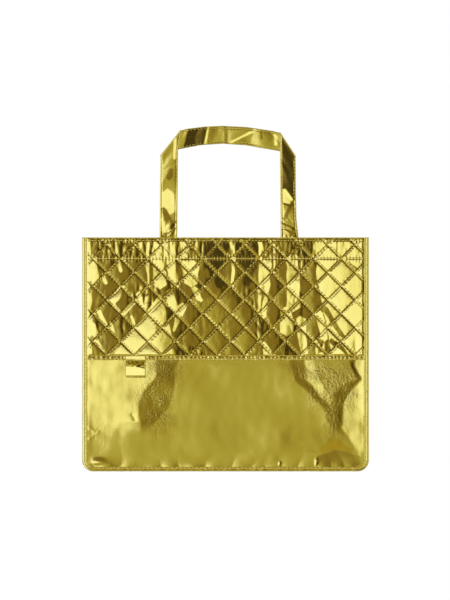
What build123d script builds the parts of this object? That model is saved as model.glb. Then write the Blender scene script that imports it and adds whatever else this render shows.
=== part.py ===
from build123d import *
import os

# Gift bag in quilted and plain metallic laminate.
# X runs across the bag, the front faces -Y, and Z is up from the floor. The origin is on the floor,
# in the middle of the bag. Every size is in millimetres.
os.makedirs("parts", exist_ok=True)

FRONT = -1
BACK = 1
LEFT = -1
RIGHT = 1

# Outside of the body
body_width = 400.0
body_height = 326.0
half_width = body_width / 2
half_depth = 60.0  # from the middle of the bag to a panel's inner face
corner_radius = 16.0  # lower outer corners of the two panels

# Edge binding, sewn round both sides and the bottom of each panel
binding_width = 6.0
binding_depth = 4.2
binding_stitch_inset = 4.7

# Panels
backing_thickness = 0.5
wadding_thickness = 1.8
quilt_skin_thickness = 0.5
lower_panel_thickness = 0.9
quilt_depth = backing_thickness + wadding_thickness + quilt_skin_thickness
panel_joint_height = 158.0  # where the quilt meets the lower panel, under the seam band
half_panel = half_width - binding_width

# Seam band, the turned top hem of the lower panel lapped over the quilt
band_bottom = 155.0
band_top = 161.5
band_thickness = 0.7
band_stitch_height = 156.5

# Quilting
diamond = 38.5  # corner to corner, both across and up
quilt_crossing = (-11.4, 277.3)  # one crossing of the stitch lines
thread_width = 1.0
thread_depth = 0.3

# Hem turned in at the mouth
hem_height = 29.0
hem_thickness = 0.8
hem_side_gap = 8.0
hem_stitch_heights = (296.5, 322.0)

# Gusset
gusset_thickness = 1.0
gusset_half = half_depth - 1.0  # fold line beside a panel to the crease in the middle
gusset_x = half_width - binding_width  # outer face of the side gussets
gusset_bottom = binding_width  # under face of the bottom gusset
gusset_top = 325.5
fold_gap = 0.3  # left free beside a panel
crease_gap = 0.15  # left free on each side of a crease
mitre_gap = 0.3
gusset_corner_radius = corner_radius - binding_width

# Handles
strap_thickness = 1.4
tail_bottom = 299.0
strap_start = body_height + 0.5
handle_feet = ((-92.1, -67.3), (76.8, 101.6))  # outer and inner edges of the two legs
left_fold = ((-90.9, 438.7), (-61.6, 475.5))  # outer and upper ends of the folded corner
left_inner_corner = (-66.4, 448.7)
right_fold = ((97.7, 437.9), (75.1, 472.3))
right_inner_corner = (75.8, 446.2)
right_flare = (98.6, 350.0)
arch_top = (-5.0, 481.8)
arch_underside = (-5.0, 456.8)
strap_stitch_inset = 4.0

# Label tab, a folded loop of strip sewn over the seam band
tab_left = -139.4
tab_right = -112.0
tab_bottom = 131.0
tab_top = 154.6
tab_depth = 1.2  # from the panel's inner face to the tab's inner side
tab_thickness = 1.4
anchor_thickness = 0.7


def layer_plane(side, depth, thickness):
    """Plane facing the front, on the front side of a layer that lies depth outside the inner face."""
    inner = half_depth + depth
    if side == FRONT:
        return Plane.XZ.offset(inner)
    return Plane.XZ.offset(-(inner + thickness))


def side_name(side):
    """The panel that a side number stands for."""
    return "front" if side == FRONT else "back"


def hand_name(hand):
    """The end of the bag that a hand number stands for."""
    return "left" if hand == LEFT else "right"


def write(part, name):
    """Labels a finished piece and writes it to its own file."""
    part.label = name
    export_step(part, f"parts/{name}.step")


def bag_outline(inset, top, mode=Mode.ADD):
    """Draws a panel's outline, pulled in by inset, with its lower corners rounded."""
    half = half_width - inset
    radius = corner_radius - inset
    block(-half, half, inset + radius, top, mode=mode)
    with Locations((0, inset + 2 * radius)):
        RectangleRounded(2 * half, 4 * radius, radius, mode=mode)


def block(left, right, bottom, top, mode=Mode.ADD):
    """Draws an upright rectangle between four edges."""
    with Locations(((left + right) / 2, (bottom + top) / 2)):
        Rectangle(right - left, top - bottom, mode=mode)


def make_quilt(side):
    """The three layers of the quilted upper panel, from the inside out."""
    layers = (
        ("quilt_backing", 0.0, backing_thickness),
        ("wadding", backing_thickness, wadding_thickness),
        ("quilt_face", backing_thickness + wadding_thickness, quilt_skin_thickness),
    )
    for layer, depth, thickness in layers:
        with BuildPart() as quilt_layer:
            with BuildSketch(layer_plane(side, depth, thickness)):
                block(-half_panel, half_panel, panel_joint_height, body_height)
            extrude(amount=thickness)
        write(quilt_layer.part, f"{side_name(side)}_{layer}")


def make_quilting_thread(side):
    """The crossed lines of stitching over the quilted panel, broken where the hem rows cross them."""
    steps = range(-8, 9)
    reach = 2 * body_width
    with BuildPart() as quilting:
        with BuildSketch(layer_plane(side, quilt_depth, thread_depth)):
            with Locations(*[(quilt_crossing[0] + step * diamond, quilt_crossing[1]) for step in steps]):
                Rectangle(reach, thread_width, rotation=45)
                Rectangle(reach, thread_width, rotation=-45)
            block(-half_panel, half_panel, band_top, body_height, mode=Mode.INTERSECT)
            for height in hem_stitch_heights:
                block(
                    -half_panel,
                    half_panel,
                    height - thread_width,
                    height + thread_width,
                    mode=Mode.SUBTRACT,
                )
        extrude(amount=thread_depth)
    write(quilting.part, f"{side_name(side)}_quilting_thread")


def make_hem_thread(side):
    """Two straight rows of stitching, one at the mouth and one at the hem's lower edge."""
    with BuildPart() as hem_rows:
        with BuildSketch(layer_plane(side, quilt_depth, thread_depth)):
            for height in hem_stitch_heights:
                block(-half_panel, half_panel, height - thread_width / 2, height + thread_width / 2)
        extrude(amount=thread_depth)
    write(hem_rows.part, f"{side_name(side)}_hem_thread")


def make_lower_panel(side):
    """The plain panel below the quilt."""
    with BuildPart() as panel:
        with BuildSketch(layer_plane(side, 0.0, lower_panel_thickness)):
            bag_outline(binding_width, panel_joint_height)
        extrude(amount=lower_panel_thickness)
    write(panel.part, f"{side_name(side)}_lower_panel")


def make_seam_band(side):
    """The lapped hem that covers the joint of the two panels, thick below the quilt's lower edge."""
    quilt_outside = side * (half_depth + quilt_depth)
    panel_outside = side * (half_depth + lower_panel_thickness)
    band_outside = side * (half_depth + quilt_depth + band_thickness)
    with BuildPart() as band:
        with BuildSketch(Plane.YZ):
            with BuildLine():
                Polyline(
                    (quilt_outside, band_top),
                    (band_outside, band_top),
                    (band_outside, band_bottom),
                    (panel_outside, band_bottom),
                    (panel_outside, panel_joint_height),
                    (quilt_outside, panel_joint_height),
                    close=True,
                )
            make_face()
        extrude(amount=half_panel, both=True)
    write(band.part, f"{side_name(side)}_seam_band")


def make_band_thread(side):
    """One row of stitching along the band, broken on the front where the label tab is sewn over it."""
    low = band_stitch_height - thread_width / 2
    high = band_stitch_height + thread_width / 2
    with BuildPart() as band_row:
        with BuildSketch(layer_plane(side, quilt_depth + band_thickness, thread_depth)):
            block(-half_panel, half_panel, low, high)
            if side == FRONT:
                block(tab_left, tab_right, low, high, mode=Mode.SUBTRACT)
        extrude(amount=thread_depth)
    write(band_row.part, f"{side_name(side)}_band_thread")


def make_binding(side):
    """The strip folded round both sides and the bottom of a panel, where the gusset is sewn in."""
    with BuildPart() as binding:
        with BuildSketch(layer_plane(side, 0.0, binding_depth)):
            bag_outline(0.0, body_height)
            bag_outline(binding_width, body_height, mode=Mode.SUBTRACT)
        extrude(amount=binding_depth)
    write(binding.part, f"{side_name(side)}_binding")


def make_binding_thread(side):
    """The row of stitching along the binding."""
    with BuildPart() as binding_row:
        with BuildSketch(layer_plane(side, binding_depth, thread_depth)):
            bag_outline(binding_stitch_inset - thread_width / 2, body_height)
            bag_outline(binding_stitch_inset + thread_width / 2, body_height, mode=Mode.SUBTRACT)
        extrude(amount=thread_depth)
    write(binding_row.part, f"{side_name(side)}_binding_thread")


def make_handle_tails(side):
    """The two ends of the handle strap, caught between the panel and its hem."""
    with BuildPart() as tails:
        with BuildSketch(layer_plane(side, -strap_thickness, strap_thickness)):
            for left, right in handle_feet:
                block(left, right, tail_bottom, body_height)
        extrude(amount=strap_thickness)
    write(tails.part, f"{side_name(side)}_handle_tails")


def make_mouth_hem(side):
    """The top edge turned in behind the panel, passing over the two handle tails."""
    half_hem = half_panel - hem_side_gap
    inner = side * half_depth
    hem_face = inner - side * hem_thickness
    strap_face = inner - side * strap_thickness
    cover_face = strap_face - side * hem_thickness
    with BuildPart() as hem:
        with BuildSketch(Plane.XY.offset(body_height - hem_height)):
            block(-half_hem, half_hem, min(inner, hem_face), max(inner, hem_face))
            for left, right in handle_feet:
                block(
                    left - hem_thickness,
                    right + hem_thickness,
                    min(inner, cover_face),
                    max(inner, cover_face),
                )
            for left, right in handle_feet:
                block(left, right, min(inner, strap_face), max(inner, strap_face), mode=Mode.SUBTRACT)
        extrude(amount=hem_height)
    write(hem.part, f"{side_name(side)}_mouth_hem")


def make_handle(side):
    """The handle's loop: two legs, and an arched top strap folded behind them at both corners."""
    (left_outer, left_inner), (right_inner, right_outer) = handle_feet
    with BuildPart() as handle:
        with BuildSketch(layer_plane(side, -strap_thickness, strap_thickness)):
            with BuildLine():
                Polyline(
                    (left_outer, strap_start),
                    (left_inner, strap_start),
                    left_inner_corner,
                    left_fold[1],
                    left_fold[0],
                    close=True,
                )
            make_face()
            with BuildLine():
                Polyline(
                    (right_inner, strap_start),
                    (right_outer, strap_start),
                    right_flare,
                    right_fold[0],
                    right_fold[1],
                    right_inner_corner,
                    close=True,
                )
            make_face()
        extrude(amount=strap_thickness)
        with BuildSketch(layer_plane(side, -2 * strap_thickness, strap_thickness)):
            with BuildLine():
                Polyline(left_inner_corner, left_fold[0], left_fold[1])
                ThreePointArc(left_fold[1], arch_top, right_fold[1])
                Polyline(right_fold[1], right_fold[0], right_inner_corner)
                ThreePointArc(right_inner_corner, arch_underside, left_inner_corner)
            make_face()
        extrude(amount=strap_thickness)
    write(handle.part, f"{side_name(side)}_handle")


def make_handle_thread(side):
    """The stitching along both edges of the strap, on the legs and on the top strap between them."""
    (left_outer, left_inner), (right_inner, right_outer) = handle_feet
    inset = strap_stitch_inset
    leg_top = left_fold[0][1]
    with BuildPart() as handle_rows:
        with BuildSketch(layer_plane(side, 0.0, thread_depth)):
            with BuildLine():
                Line((left_outer + inset, strap_start), (left_fold[0][0] + inset, leg_top))
            with BuildLine():
                Line((left_inner - inset, strap_start), (left_inner_corner[0] - inset, leg_top))
            with BuildLine():
                Line((right_inner + inset, strap_start), (right_inner_corner[0] + inset, leg_top))
            with BuildLine():
                Line((right_outer - inset, strap_start), (right_fold[0][0] - inset, leg_top))
            trace(line_width=thread_width)
        extrude(amount=thread_depth)
        with BuildSketch(layer_plane(side, -strap_thickness, thread_depth)):
            with BuildLine():
                ThreePointArc(
                    (left_fold[1][0], left_fold[1][1] - inset),
                    (arch_top[0], arch_top[1] - inset),
                    (right_fold[1][0] - inset, right_fold[1][1] - inset),
                )
            with BuildLine():
                ThreePointArc(
                    (left_inner_corner[0] + inset, left_inner_corner[1] + inset),
                    (arch_underside[0], arch_underside[1] + inset),
                    (right_inner_corner[0] - inset, right_inner_corner[1] + inset),
                )
            trace(line_width=thread_width)
        extrude(amount=thread_depth)
    write(handle_rows.part, f"{side_name(side)}_handle_thread")


def make_side_gusset(hand, side):
    """One half of a side gusset, from the fold beside a panel to the crease in the middle."""
    fold_y = side * (gusset_half - fold_gap)
    crease_y = side * crease_gap
    mitre_start = gusset_bottom + gusset_corner_radius
    outside = hand * gusset_x
    with BuildPart() as half:
        with BuildSketch(Plane.YZ.offset(min(outside, outside - hand * gusset_thickness))):
            with BuildLine():
                Polyline(
                    (fold_y, mitre_start + fold_gap),
                    (fold_y, gusset_top),
                    (crease_y, gusset_top),
                    (crease_y, mitre_start + gusset_half - crease_gap),
                    close=True,
                )
            make_face()
        extrude(amount=gusset_thickness)
    half_name = "front_half" if side == FRONT else "rear_half"
    write(half.part, f"{hand_name(hand)}_gusset_{half_name}")


def make_bottom_gusset(side):
    """One half of the bottom gusset, mitred at both ends."""
    fold_y = side * (gusset_half - fold_gap)
    crease_y = side * crease_gap
    half_length = gusset_x - gusset_thickness - corner_radius
    with BuildPart() as half:
        with BuildSketch(Plane.XY.offset(gusset_bottom)):
            with BuildLine():
                Polyline(
                    (-half_length + fold_gap, fold_y),
                    (half_length - fold_gap, fold_y),
                    (half_length - gusset_half + crease_gap, crease_y),
                    (-half_length + gusset_half - crease_gap, crease_y),
                    close=True,
                )
            make_face()
        extrude(amount=gusset_thickness)
    half_name = "front_half" if side == FRONT else "rear_half"
    write(half.part, f"bottom_gusset_{half_name}")


def make_corner_gusset(hand):
    """The soft corner of the gusset, from the mitre on the side round to the mitre on the bottom."""
    outer = gusset_x
    inner = gusset_x - gusset_thickness
    mitre_start = gusset_bottom + gusset_corner_radius
    half_length = inner - corner_radius
    crease_top = mitre_start + gusset_half
    crease_end = half_length - gusset_half
    depth = gusset_half - fold_gap
    reach = 2 * gusset_half
    with BuildPart() as corner:
        with BuildSketch(Plane.XZ):
            with BuildLine():
                FilletPolyline(
                    (hand * outer, crease_top),
                    (hand * outer, gusset_bottom),
                    (hand * crease_end, gusset_bottom),
                    radius=gusset_corner_radius,
                )
                Line(
                    (hand * crease_end, gusset_bottom),
                    (hand * crease_end, gusset_bottom + gusset_thickness),
                )
                FilletPolyline(
                    (hand * crease_end, gusset_bottom + gusset_thickness),
                    (hand * inner, gusset_bottom + gusset_thickness),
                    (hand * inner, crease_top),
                    radius=gusset_corner_radius - gusset_thickness,
                )
                Line((hand * inner, crease_top), (hand * outer, crease_top))
            make_face()
        extrude(amount=depth, both=True)
        with BuildSketch(Plane.YZ.offset(hand * (outer + gusset_thickness))):
            with BuildLine():
                Polyline(
                    (-gusset_half, mitre_start - mitre_gap),
                    (0, crease_top - mitre_gap),
                    (gusset_half, mitre_start - mitre_gap),
                    (gusset_half, mitre_start + reach),
                    (-gusset_half, mitre_start + reach),
                    close=True,
                )
            make_face()
        extrude(amount=-hand * 3 * gusset_thickness, mode=Mode.SUBTRACT)
        with BuildSketch(Plane.XY):
            with BuildLine():
                Polyline(
                    (hand * (half_length + mitre_gap), -gusset_half),
                    (hand * (crease_end + mitre_gap), 0),
                    (hand * (half_length + mitre_gap), gusset_half),
                    (hand * (half_length - reach), gusset_half),
                    (hand * (half_length - reach), -gusset_half),
                    close=True,
                )
            make_face()
        extrude(amount=gusset_bottom + 2 * gusset_thickness, mode=Mode.SUBTRACT)
    write(corner.part, f"{hand_name(hand)}_corner_gusset")


def make_label_tab():
    """The free end of the folded loop, hanging in front of the lower panel."""
    with BuildPart() as tab:
        with BuildSketch(layer_plane(FRONT, tab_depth, tab_thickness)):
            block(tab_left, tab_right, tab_bottom, tab_top)
        extrude(amount=tab_thickness)
    write(tab.part, "label_tab")


def make_tab_anchor():
    """The end of the loop that is sewn over the seam band, and its short row of stitching."""
    anchor_depth = quilt_depth + band_thickness
    with BuildPart() as anchor:
        with BuildSketch(layer_plane(FRONT, anchor_depth, anchor_thickness)):
            block(tab_left, tab_right, band_bottom, band_top)
        extrude(amount=anchor_thickness)
    write(anchor.part, "label_tab_anchor")
    with BuildPart() as tab_row:
        with BuildSketch(layer_plane(FRONT, anchor_depth + anchor_thickness, thread_depth)):
            block(
                tab_left + thread_width,
                tab_right - thread_width,
                band_stitch_height - thread_width / 2,
                band_stitch_height + thread_width / 2,
            )
        extrude(amount=thread_depth)
    write(tab_row.part, "label_tab_thread")


for panel_side in (FRONT, BACK):
    make_quilt(panel_side)
    make_quilting_thread(panel_side)
    make_hem_thread(panel_side)
    make_lower_panel(panel_side)
    make_seam_band(panel_side)
    make_band_thread(panel_side)
    make_binding(panel_side)
    make_binding_thread(panel_side)
    make_handle_tails(panel_side)
    make_mouth_hem(panel_side)
    make_handle(panel_side)
    make_handle_thread(panel_side)
    make_bottom_gusset(panel_side)
    for bag_end in (LEFT, RIGHT):
        make_side_gusset(bag_end, panel_side)

for bag_end in (LEFT, RIGHT):
    make_corner_gusset(bag_end)

make_label_tab()
make_tab_anchor()
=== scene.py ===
"""Looks of a quilted gold gift bag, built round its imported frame."""
import logging
import math
from dataclasses import dataclass, field
from enum import Enum
from functools import partial
from typing import Callable, Sequence

import bmesh
import bpy
import numpy as np
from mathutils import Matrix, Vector


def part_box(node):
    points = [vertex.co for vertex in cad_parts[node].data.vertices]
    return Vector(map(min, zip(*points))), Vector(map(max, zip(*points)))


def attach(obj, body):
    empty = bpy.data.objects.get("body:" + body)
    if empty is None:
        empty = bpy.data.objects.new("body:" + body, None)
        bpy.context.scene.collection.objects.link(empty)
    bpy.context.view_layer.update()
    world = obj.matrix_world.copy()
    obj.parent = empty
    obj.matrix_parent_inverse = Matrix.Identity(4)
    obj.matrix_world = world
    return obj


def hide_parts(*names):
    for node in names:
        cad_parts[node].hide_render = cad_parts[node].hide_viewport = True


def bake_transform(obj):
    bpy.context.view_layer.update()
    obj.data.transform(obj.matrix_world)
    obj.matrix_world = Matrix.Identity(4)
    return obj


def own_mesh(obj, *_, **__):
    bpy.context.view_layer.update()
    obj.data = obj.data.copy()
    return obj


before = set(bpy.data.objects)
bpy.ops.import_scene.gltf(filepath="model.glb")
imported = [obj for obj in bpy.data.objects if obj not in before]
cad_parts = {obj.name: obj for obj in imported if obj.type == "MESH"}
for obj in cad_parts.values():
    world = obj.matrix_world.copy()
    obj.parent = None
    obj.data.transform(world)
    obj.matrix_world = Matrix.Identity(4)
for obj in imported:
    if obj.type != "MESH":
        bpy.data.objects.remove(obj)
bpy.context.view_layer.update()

LOG = logging.getLogger("gift_bag")
MM = 0.001
Points = np.ndarray
Place = Callable[[np.ndarray, np.ndarray], Points]
Edge = Sequence[tuple[float, float]]


class Side(Enum):
    """The two large faces of the bag."""

    FRONT = -1
    BACK = 1

    @property
    def word(self) -> str:
        """The name of the face, which is also its body's name."""
        return self.name.lower()

    @property
    def outward(self) -> Vector:
        """The direction that the face looks in."""
        return Vector((0.0, float(self.value), 0.0))


class Hand(Enum):
    """The two ends of the bag, seen from the front."""

    LEFT = -1
    RIGHT = 1

    @property
    def word(self) -> str:
        """The name of the end."""
        return self.name.lower()


# ---------------------------------------------------------------- shader maths


class Signal:
    """One socket of a material, on which arithmetic adds Math nodes."""

    def __init__(self, bench: "Bench", socket: bpy.types.NodeSocket) -> None:
        """Wraps an output socket.

        Args:
            bench: The node tree that the socket is in.
            socket: The output socket.
        """
        self.bench = bench
        self.socket = socket

    def maths(
        self, operation: str, *others: "Signal | float", first: "Signal | float | None" = None
    ) -> "Signal":
        """Adds one Math node.

        Args:
            operation: The Math node's operation.
            others: What goes into the node's next sockets.
            first: What goes into its first socket, if not this signal.

        Returns:
            The node's result.
        """
        values = [self if first is None else first, *others]
        return self.bench.add("ShaderNodeMath", {"operation": operation}, dict(enumerate(values)))

    def __add__(self, other: "Signal | float") -> "Signal":
        """Sum."""
        return self.maths("ADD", other)

    def __sub__(self, other: "Signal | float") -> "Signal":
        """Difference."""
        return self.maths("SUBTRACT", other)

    def __rsub__(self, other: float) -> "Signal":
        """Difference from a number."""
        return self.maths("SUBTRACT", self, first=other)

    def __mul__(self, other: "Signal | float") -> "Signal":
        """Product."""
        return self.maths("MULTIPLY", other)

    __radd__ = __add__
    __rmul__ = __mul__

    def size(self) -> "Signal":
        """Absolute value."""
        return self.maths("ABSOLUTE")

    def ramp(self, low: float, high: float) -> "Signal":
        """Turns smoothly from 0 at low to 1 at high."""
        return self.bench.add(
            "ShaderNodeMapRange",
            {"interpolation_type": "SMOOTHSTEP"},
            {"Value": self, "From Min": low, "From Max": high},
        )


class Bench:
    """A node tree being wired."""

    def __init__(self, tree: bpy.types.NodeTree) -> None:
        """Empties the tree.

        Args:
            tree: The material's or world's node tree.
        """
        self.tree = tree
        tree.nodes.clear()

    def node(self, kind: str, settings: dict[str, object], inputs: dict[object, object]) -> bpy.types.Node:
        """Adds a node.

        Args:
            kind: The node's type.
            settings: Its properties, set first.
            inputs: Values or signals for its input sockets, by name or number.

        Returns:
            The new node.
        """
        made = self.tree.nodes.new(kind)
        for name, value in settings.items():
            setattr(made, name, value)
        for name, value in inputs.items():
            if isinstance(value, Signal):
                self.tree.links.new(value.socket, made.inputs[name])
            else:
                made.inputs[name].default_value = value
        return made

    def add(
        self, kind: str, settings: dict[str, object], inputs: dict[object, object], output: object = 0
    ) -> Signal:
        """Adds a node and returns one of its outputs as a signal."""
        return Signal(self, self.node(kind, settings, inputs).outputs[output])

    def mix(self, factor: "Signal | float", first: object, second: object) -> Signal:
        """Mixes two colours."""
        inputs = {"Factor": factor, 6: first, 7: second}
        return self.add("ShaderNodeMix", {"data_type": "RGBA"}, inputs, output=2)

    def noise(self, where: Signal, scale: float, detail: float = 2.0, roughness: float = 0.5) -> Signal:
        """Adds a noise texture and returns its value."""
        inputs = {"Vector": where, "Scale": scale, "Detail": detail, "Roughness": roughness}
        return self.add("ShaderNodeTexNoise", {}, inputs)

    def bump(
        self, height: Signal, distance: float, strength: float = 1.0, over: Signal | None = None
    ) -> Signal:
        """Turns a height into a bumped normal, over another one if it is given."""
        inputs = {"Strength": strength, "Distance": distance, "Height": height}
        if over is not None:
            inputs["Normal"] = over
        return self.add("ShaderNodeBump", {}, inputs)

    def reading(self, name: str, output: str) -> Signal:
        """Reads a value that the mesh keeps at each of its points."""
        return self.add("ShaderNodeAttribute", {"attribute_name": name}, {}, output=output)


def rgba(colour: Sequence[float]) -> tuple[float, float, float, float]:
    """Adds a full alpha to a colour."""
    return (colour[0], colour[1], colour[2], 1.0)


@dataclass(frozen=True)
class Finish:
    """A finish of the bag or its floor, with what all of them have in common."""

    name: str

    def look(self, bench: Bench, where: Signal) -> dict[str, object]:
        """Wires the finish and gives the inputs of its shader."""
        raise NotImplementedError

    def make(self) -> bpy.types.Material:
        """Builds the material."""
        material = bpy.data.materials.new(self.name)
        material.use_nodes = True
        bench = Bench(material.node_tree)
        where = bench.add("ShaderNodeTexCoord", {}, {}, output="Object")
        shader = bench.add("ShaderNodeBsdfPrincipled", {}, self.look(bench, where))
        bench.node("ShaderNodeOutputMaterial", {}, {"Surface": shader})
        return material


@dataclass(frozen=True)
class FoilFinish(Finish):
    """Metallised film on non-woven cloth: mirror gold with a fine crushed grain."""

    tint: tuple[float, float, float] = (0.86, 0.765, 0.19)
    deep_tint: tuple[float, float, float] = (0.80, 0.68, 0.13)
    roughness: float = 0.10
    grain_scale: float = 650.0
    grain_depth: float = 0.00004
    patch_scale: float = 14.0
    crush_scale: float = 160.0
    crush_depth: float = 0.00004

    def look(self, bench: Bench, where: Signal) -> dict[str, object]:
        """Grain over gold film, whose facets lean as the mesh says."""
        patches = bench.noise(where, self.patch_scale, 2.0)
        grain = bench.noise(where, self.grain_scale, 3.0, 0.6)
        crush = bench.noise(where, self.crush_scale, 2.0, 0.55)
        crushed = bench.reading("crushed", "Fac")
        grainy = (patches.ramp(0.42, 0.62) * 0.3 + crushed * 3.0).maths("MINIMUM", 3.3)
        fine = bench.bump(grain * (grainy + 0.2), self.grain_depth)
        normal = bench.bump(crush, self.crush_depth, over=fine)
        turn = {"vector_type": "VECTOR", "convert_from": "OBJECT", "convert_to": "WORLD"}
        tilt = bench.add("ShaderNodeVectorTransform", turn, {"Vector": bench.reading("tilt", "Vector")})
        tilted = bench.add("ShaderNodeVectorMath", {"operation": "ADD"}, {0: normal, 1: tilt})
        return {
            "Base Color": bench.mix(patches, rgba(self.tint), rgba(self.deep_tint)),
            "Metallic": 1.0,
            "Roughness": grainy * 0.02 + self.roughness,
            "Coat Weight": 0.3,
            "Coat Roughness": 0.08,
            "Coat IOR": 1.5,
            "Normal": bench.add("ShaderNodeVectorMath", {"operation": "NORMALIZE"}, {0: tilted}),
        }


@dataclass(frozen=True)
class NonWovenFinish(Finish):
    """White non-woven cloth with its pattern of small bonded dimples."""

    tint: tuple[float, float, float] = (0.83, 0.81, 0.74)
    dimple_tint: tuple[float, float, float] = (0.62, 0.59, 0.5)
    dimple_scale: float = 620.0
    fibre_scale: float = 900.0
    roughness: float = 0.8

    def look(self, bench: Bench, where: Signal) -> dict[str, object]:
        """Dimples among matt fibres."""
        inputs = {"Vector": where, "Scale": self.dimple_scale, "Randomness": 0.25}
        dimple = 1 - bench.add("ShaderNodeTexVoronoi", {"feature": "F1"}, inputs).ramp(0.16, 0.34)
        fibres = bench.noise(where, self.fibre_scale, 4.0, 0.7)
        return {
            "Base Color": bench.mix(dimple * 0.7, rgba(self.tint), rgba(self.dimple_tint)),
            "Roughness": self.roughness,
            "Normal": bench.bump(fibres * 0.5 - dimple, 0.0002, 0.6),
            "Specular IOR Level": 0.3,
        }


@dataclass(frozen=True)
class ThreadFinish(Finish):
    """Twisted polyester thread."""

    tint: tuple[float, float, float] = (0.78, 0.64, 0.17)
    shade: tuple[float, float, float] = (0.42, 0.30, 0.05)
    twist_scale: float = 1400.0
    roughness: float = 0.42

    def look(self, bench: Bench, where: Signal) -> dict[str, object]:
        """Light and dark strands, a little metallic."""
        twist = bench.noise(where, self.twist_scale, 2.0)
        return {
            "Base Color": bench.mix(twist.ramp(0.35, 0.65), rgba(self.shade), rgba(self.tint)),
            "Metallic": 0.35,
            "Roughness": self.roughness,
            "Normal": bench.bump(twist, 0.0002, 0.5),
        }


@dataclass(frozen=True)
class FloorFinish(Finish):
    """Pale floor that fades into the white surroundings at its rim."""

    name: str = "pale_floor"
    tint: tuple[float, float, float] = (0.93, 0.93, 0.92)
    mottle_scale: float = 30.0
    fade_from: float = 0.7
    fade_to: float = 1.5

    def look(self, bench: Bench, where: Signal) -> dict[str, object]:
        """Faintly mottled matt white, clear towards its rim."""
        reach = bench.add("ShaderNodeVectorMath", {"operation": "LENGTH"}, {0: where}, output="Value")
        darker = rgba([0.97 * c for c in self.tint])
        return {
            "Base Color": bench.mix(bench.noise(where, self.mottle_scale), rgba(self.tint), darker),
            "Roughness": 0.9,
            "Specular IOR Level": 0.1,
            "Alpha": 1 - reach.ramp(self.fade_from, self.fade_to),
        }


# ---------------------------------------------------------------- surfaces


class Noise:
    """Seeded gradient noise over a plane."""

    def __init__(self, seed: int, size: int = 256) -> None:
        """Draws the lattice of slopes.

        Args:
            seed: Seed of the random draw.
            size: Lattice points each way before the noise repeats.
        """
        turn = np.random.default_rng(seed).uniform(0.0, 2.0 * math.pi, (size, size))
        self.size = size
        self.slope_u = np.cos(turn)
        self.slope_v = np.sin(turn)

    def smooth(self, u: np.ndarray, v: np.ndarray) -> np.ndarray:
        """Noise of about -1 to 1, with one lattice cell to each unit of u and v."""
        iu, iv = np.floor(u).astype(int), np.floor(v).astype(int)
        fu, fv = u - iu, v - iv
        wu, wv = (f * f * f * (f * (f * 6 - 15) + 10) for f in (fu, fv))
        corners = []
        for du in (0, 1):
            for dv in (0, 1):
                a, b = (iu + du) % self.size, (iv + dv) % self.size
                corners.append(self.slope_u[a, b] * (fu - du) + self.slope_v[a, b] * (fv - dv))
        low = corners[0] * (1 - wv) + corners[1] * wv
        high = corners[2] * (1 - wv) + corners[3] * wv
        return 1.5 * (low * (1 - wu) + high * wu)

    def creased(self, u: np.ndarray, v: np.ndarray) -> np.ndarray:
        """Noise folded along its zero lines, as crushed film is: about 0 in the creases, 1 between them."""
        return np.abs(self.smooth(u, v)) * 1.6


def step(values: np.ndarray, low: float, high: float) -> np.ndarray:
    """Turns smoothly from 0 at low to 1 at high."""
    t = np.clip((values - low) / (high - low), 0.0, 1.0)
    return t * t * (3 - 2 * t)


def stack(x: object, y: object, z: object) -> Points:
    """Three coordinate arrays as rows of points."""
    return np.stack(np.broadcast_arrays(x, y, z), axis=-1).astype(float)


def walk(points: Points) -> np.ndarray:
    """The distance walked along a row of points, at each of them."""
    return np.concatenate([[0.0], np.cumsum(np.linalg.norm(np.diff(points, axis=0), axis=1))])


def bell(values: np.ndarray, middle: float, reach: float) -> np.ndarray:
    """1 at the middle, falling off smoothly to both sides."""
    return np.exp(-(((values - middle) / reach) ** 2))


class Piece:
    """One visible piece: a mesh object with its finishes."""

    def __init__(self, name: str, shape: bmesh.types.BMesh, finishes: Sequence[bpy.types.Material]) -> None:
        """Makes the object and frees the bmesh.

        Args:
            name: The piece's name.
            shape: Its shape, in metres, in place.
            finishes: Its materials, in slot order.
        """
        mesh = bpy.data.meshes.new(name)
        shape.to_mesh(mesh)
        shape.free()
        for finish in finishes:
            mesh.materials.append(finish)
        self.object = bpy.data.objects.new(name, mesh)
        bpy.context.scene.collection.objects.link(self.object)
        for polygon in mesh.polygons:
            polygon.use_smooth = True

    def note(self, name: str, value: Callable[[Points], np.ndarray]) -> "Piece":
        """Keeps a number or a vector at each point of the mesh, for the finish to read."""
        mesh = self.object.data
        found = value(np.array([v.co for v in mesh.vertices]))
        kind, member = ("FLOAT", "value") if found.ndim == 1 else ("FLOAT_VECTOR", "vector")
        mesh.attributes.new(name, kind, "POINT").data.foreach_set(member, found.astype(np.float32).ravel())
        return self

    def thicken(self, thickness: float, offset: float = -1.0, lining: int = 0, rim: int = 0) -> "Piece":
        """Gives a sheet its thickness.

        Args:
            thickness: In metres.
            offset: -1 to grow inwards, 0 to both sides.
            lining: Slots further on for the inner side's finish.
            rim: Slots further on for the cut edge's finish.

        Returns:
            The piece itself.
        """
        wall = self.object.modifiers.new("thickness", "SOLIDIFY")
        wall.thickness = thickness
        wall.offset = offset
        wall.material_offset = lining
        wall.material_offset_rim = rim
        return self

    def ride(self, body: str) -> "Piece":
        """Lets the piece move with one body."""
        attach(self.object, body)
        return self

    def blend(self, first: str, second: str, start: Sequence[float], end: Sequence[float]) -> "Piece":
        """Bakes the piece's placement into its mesh."""
        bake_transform(self.object)
        return self

    def stands_for(self, *nodes: str, slot: str = "gold_laminate") -> "Piece":
        """Hides the nodes that the piece stands for and logs its face count."""
        if nodes:
            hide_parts(*nodes)
        LOG.info("%s: %d faces", self.object.name, len(self.object.data.polygons))
        return self


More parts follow.
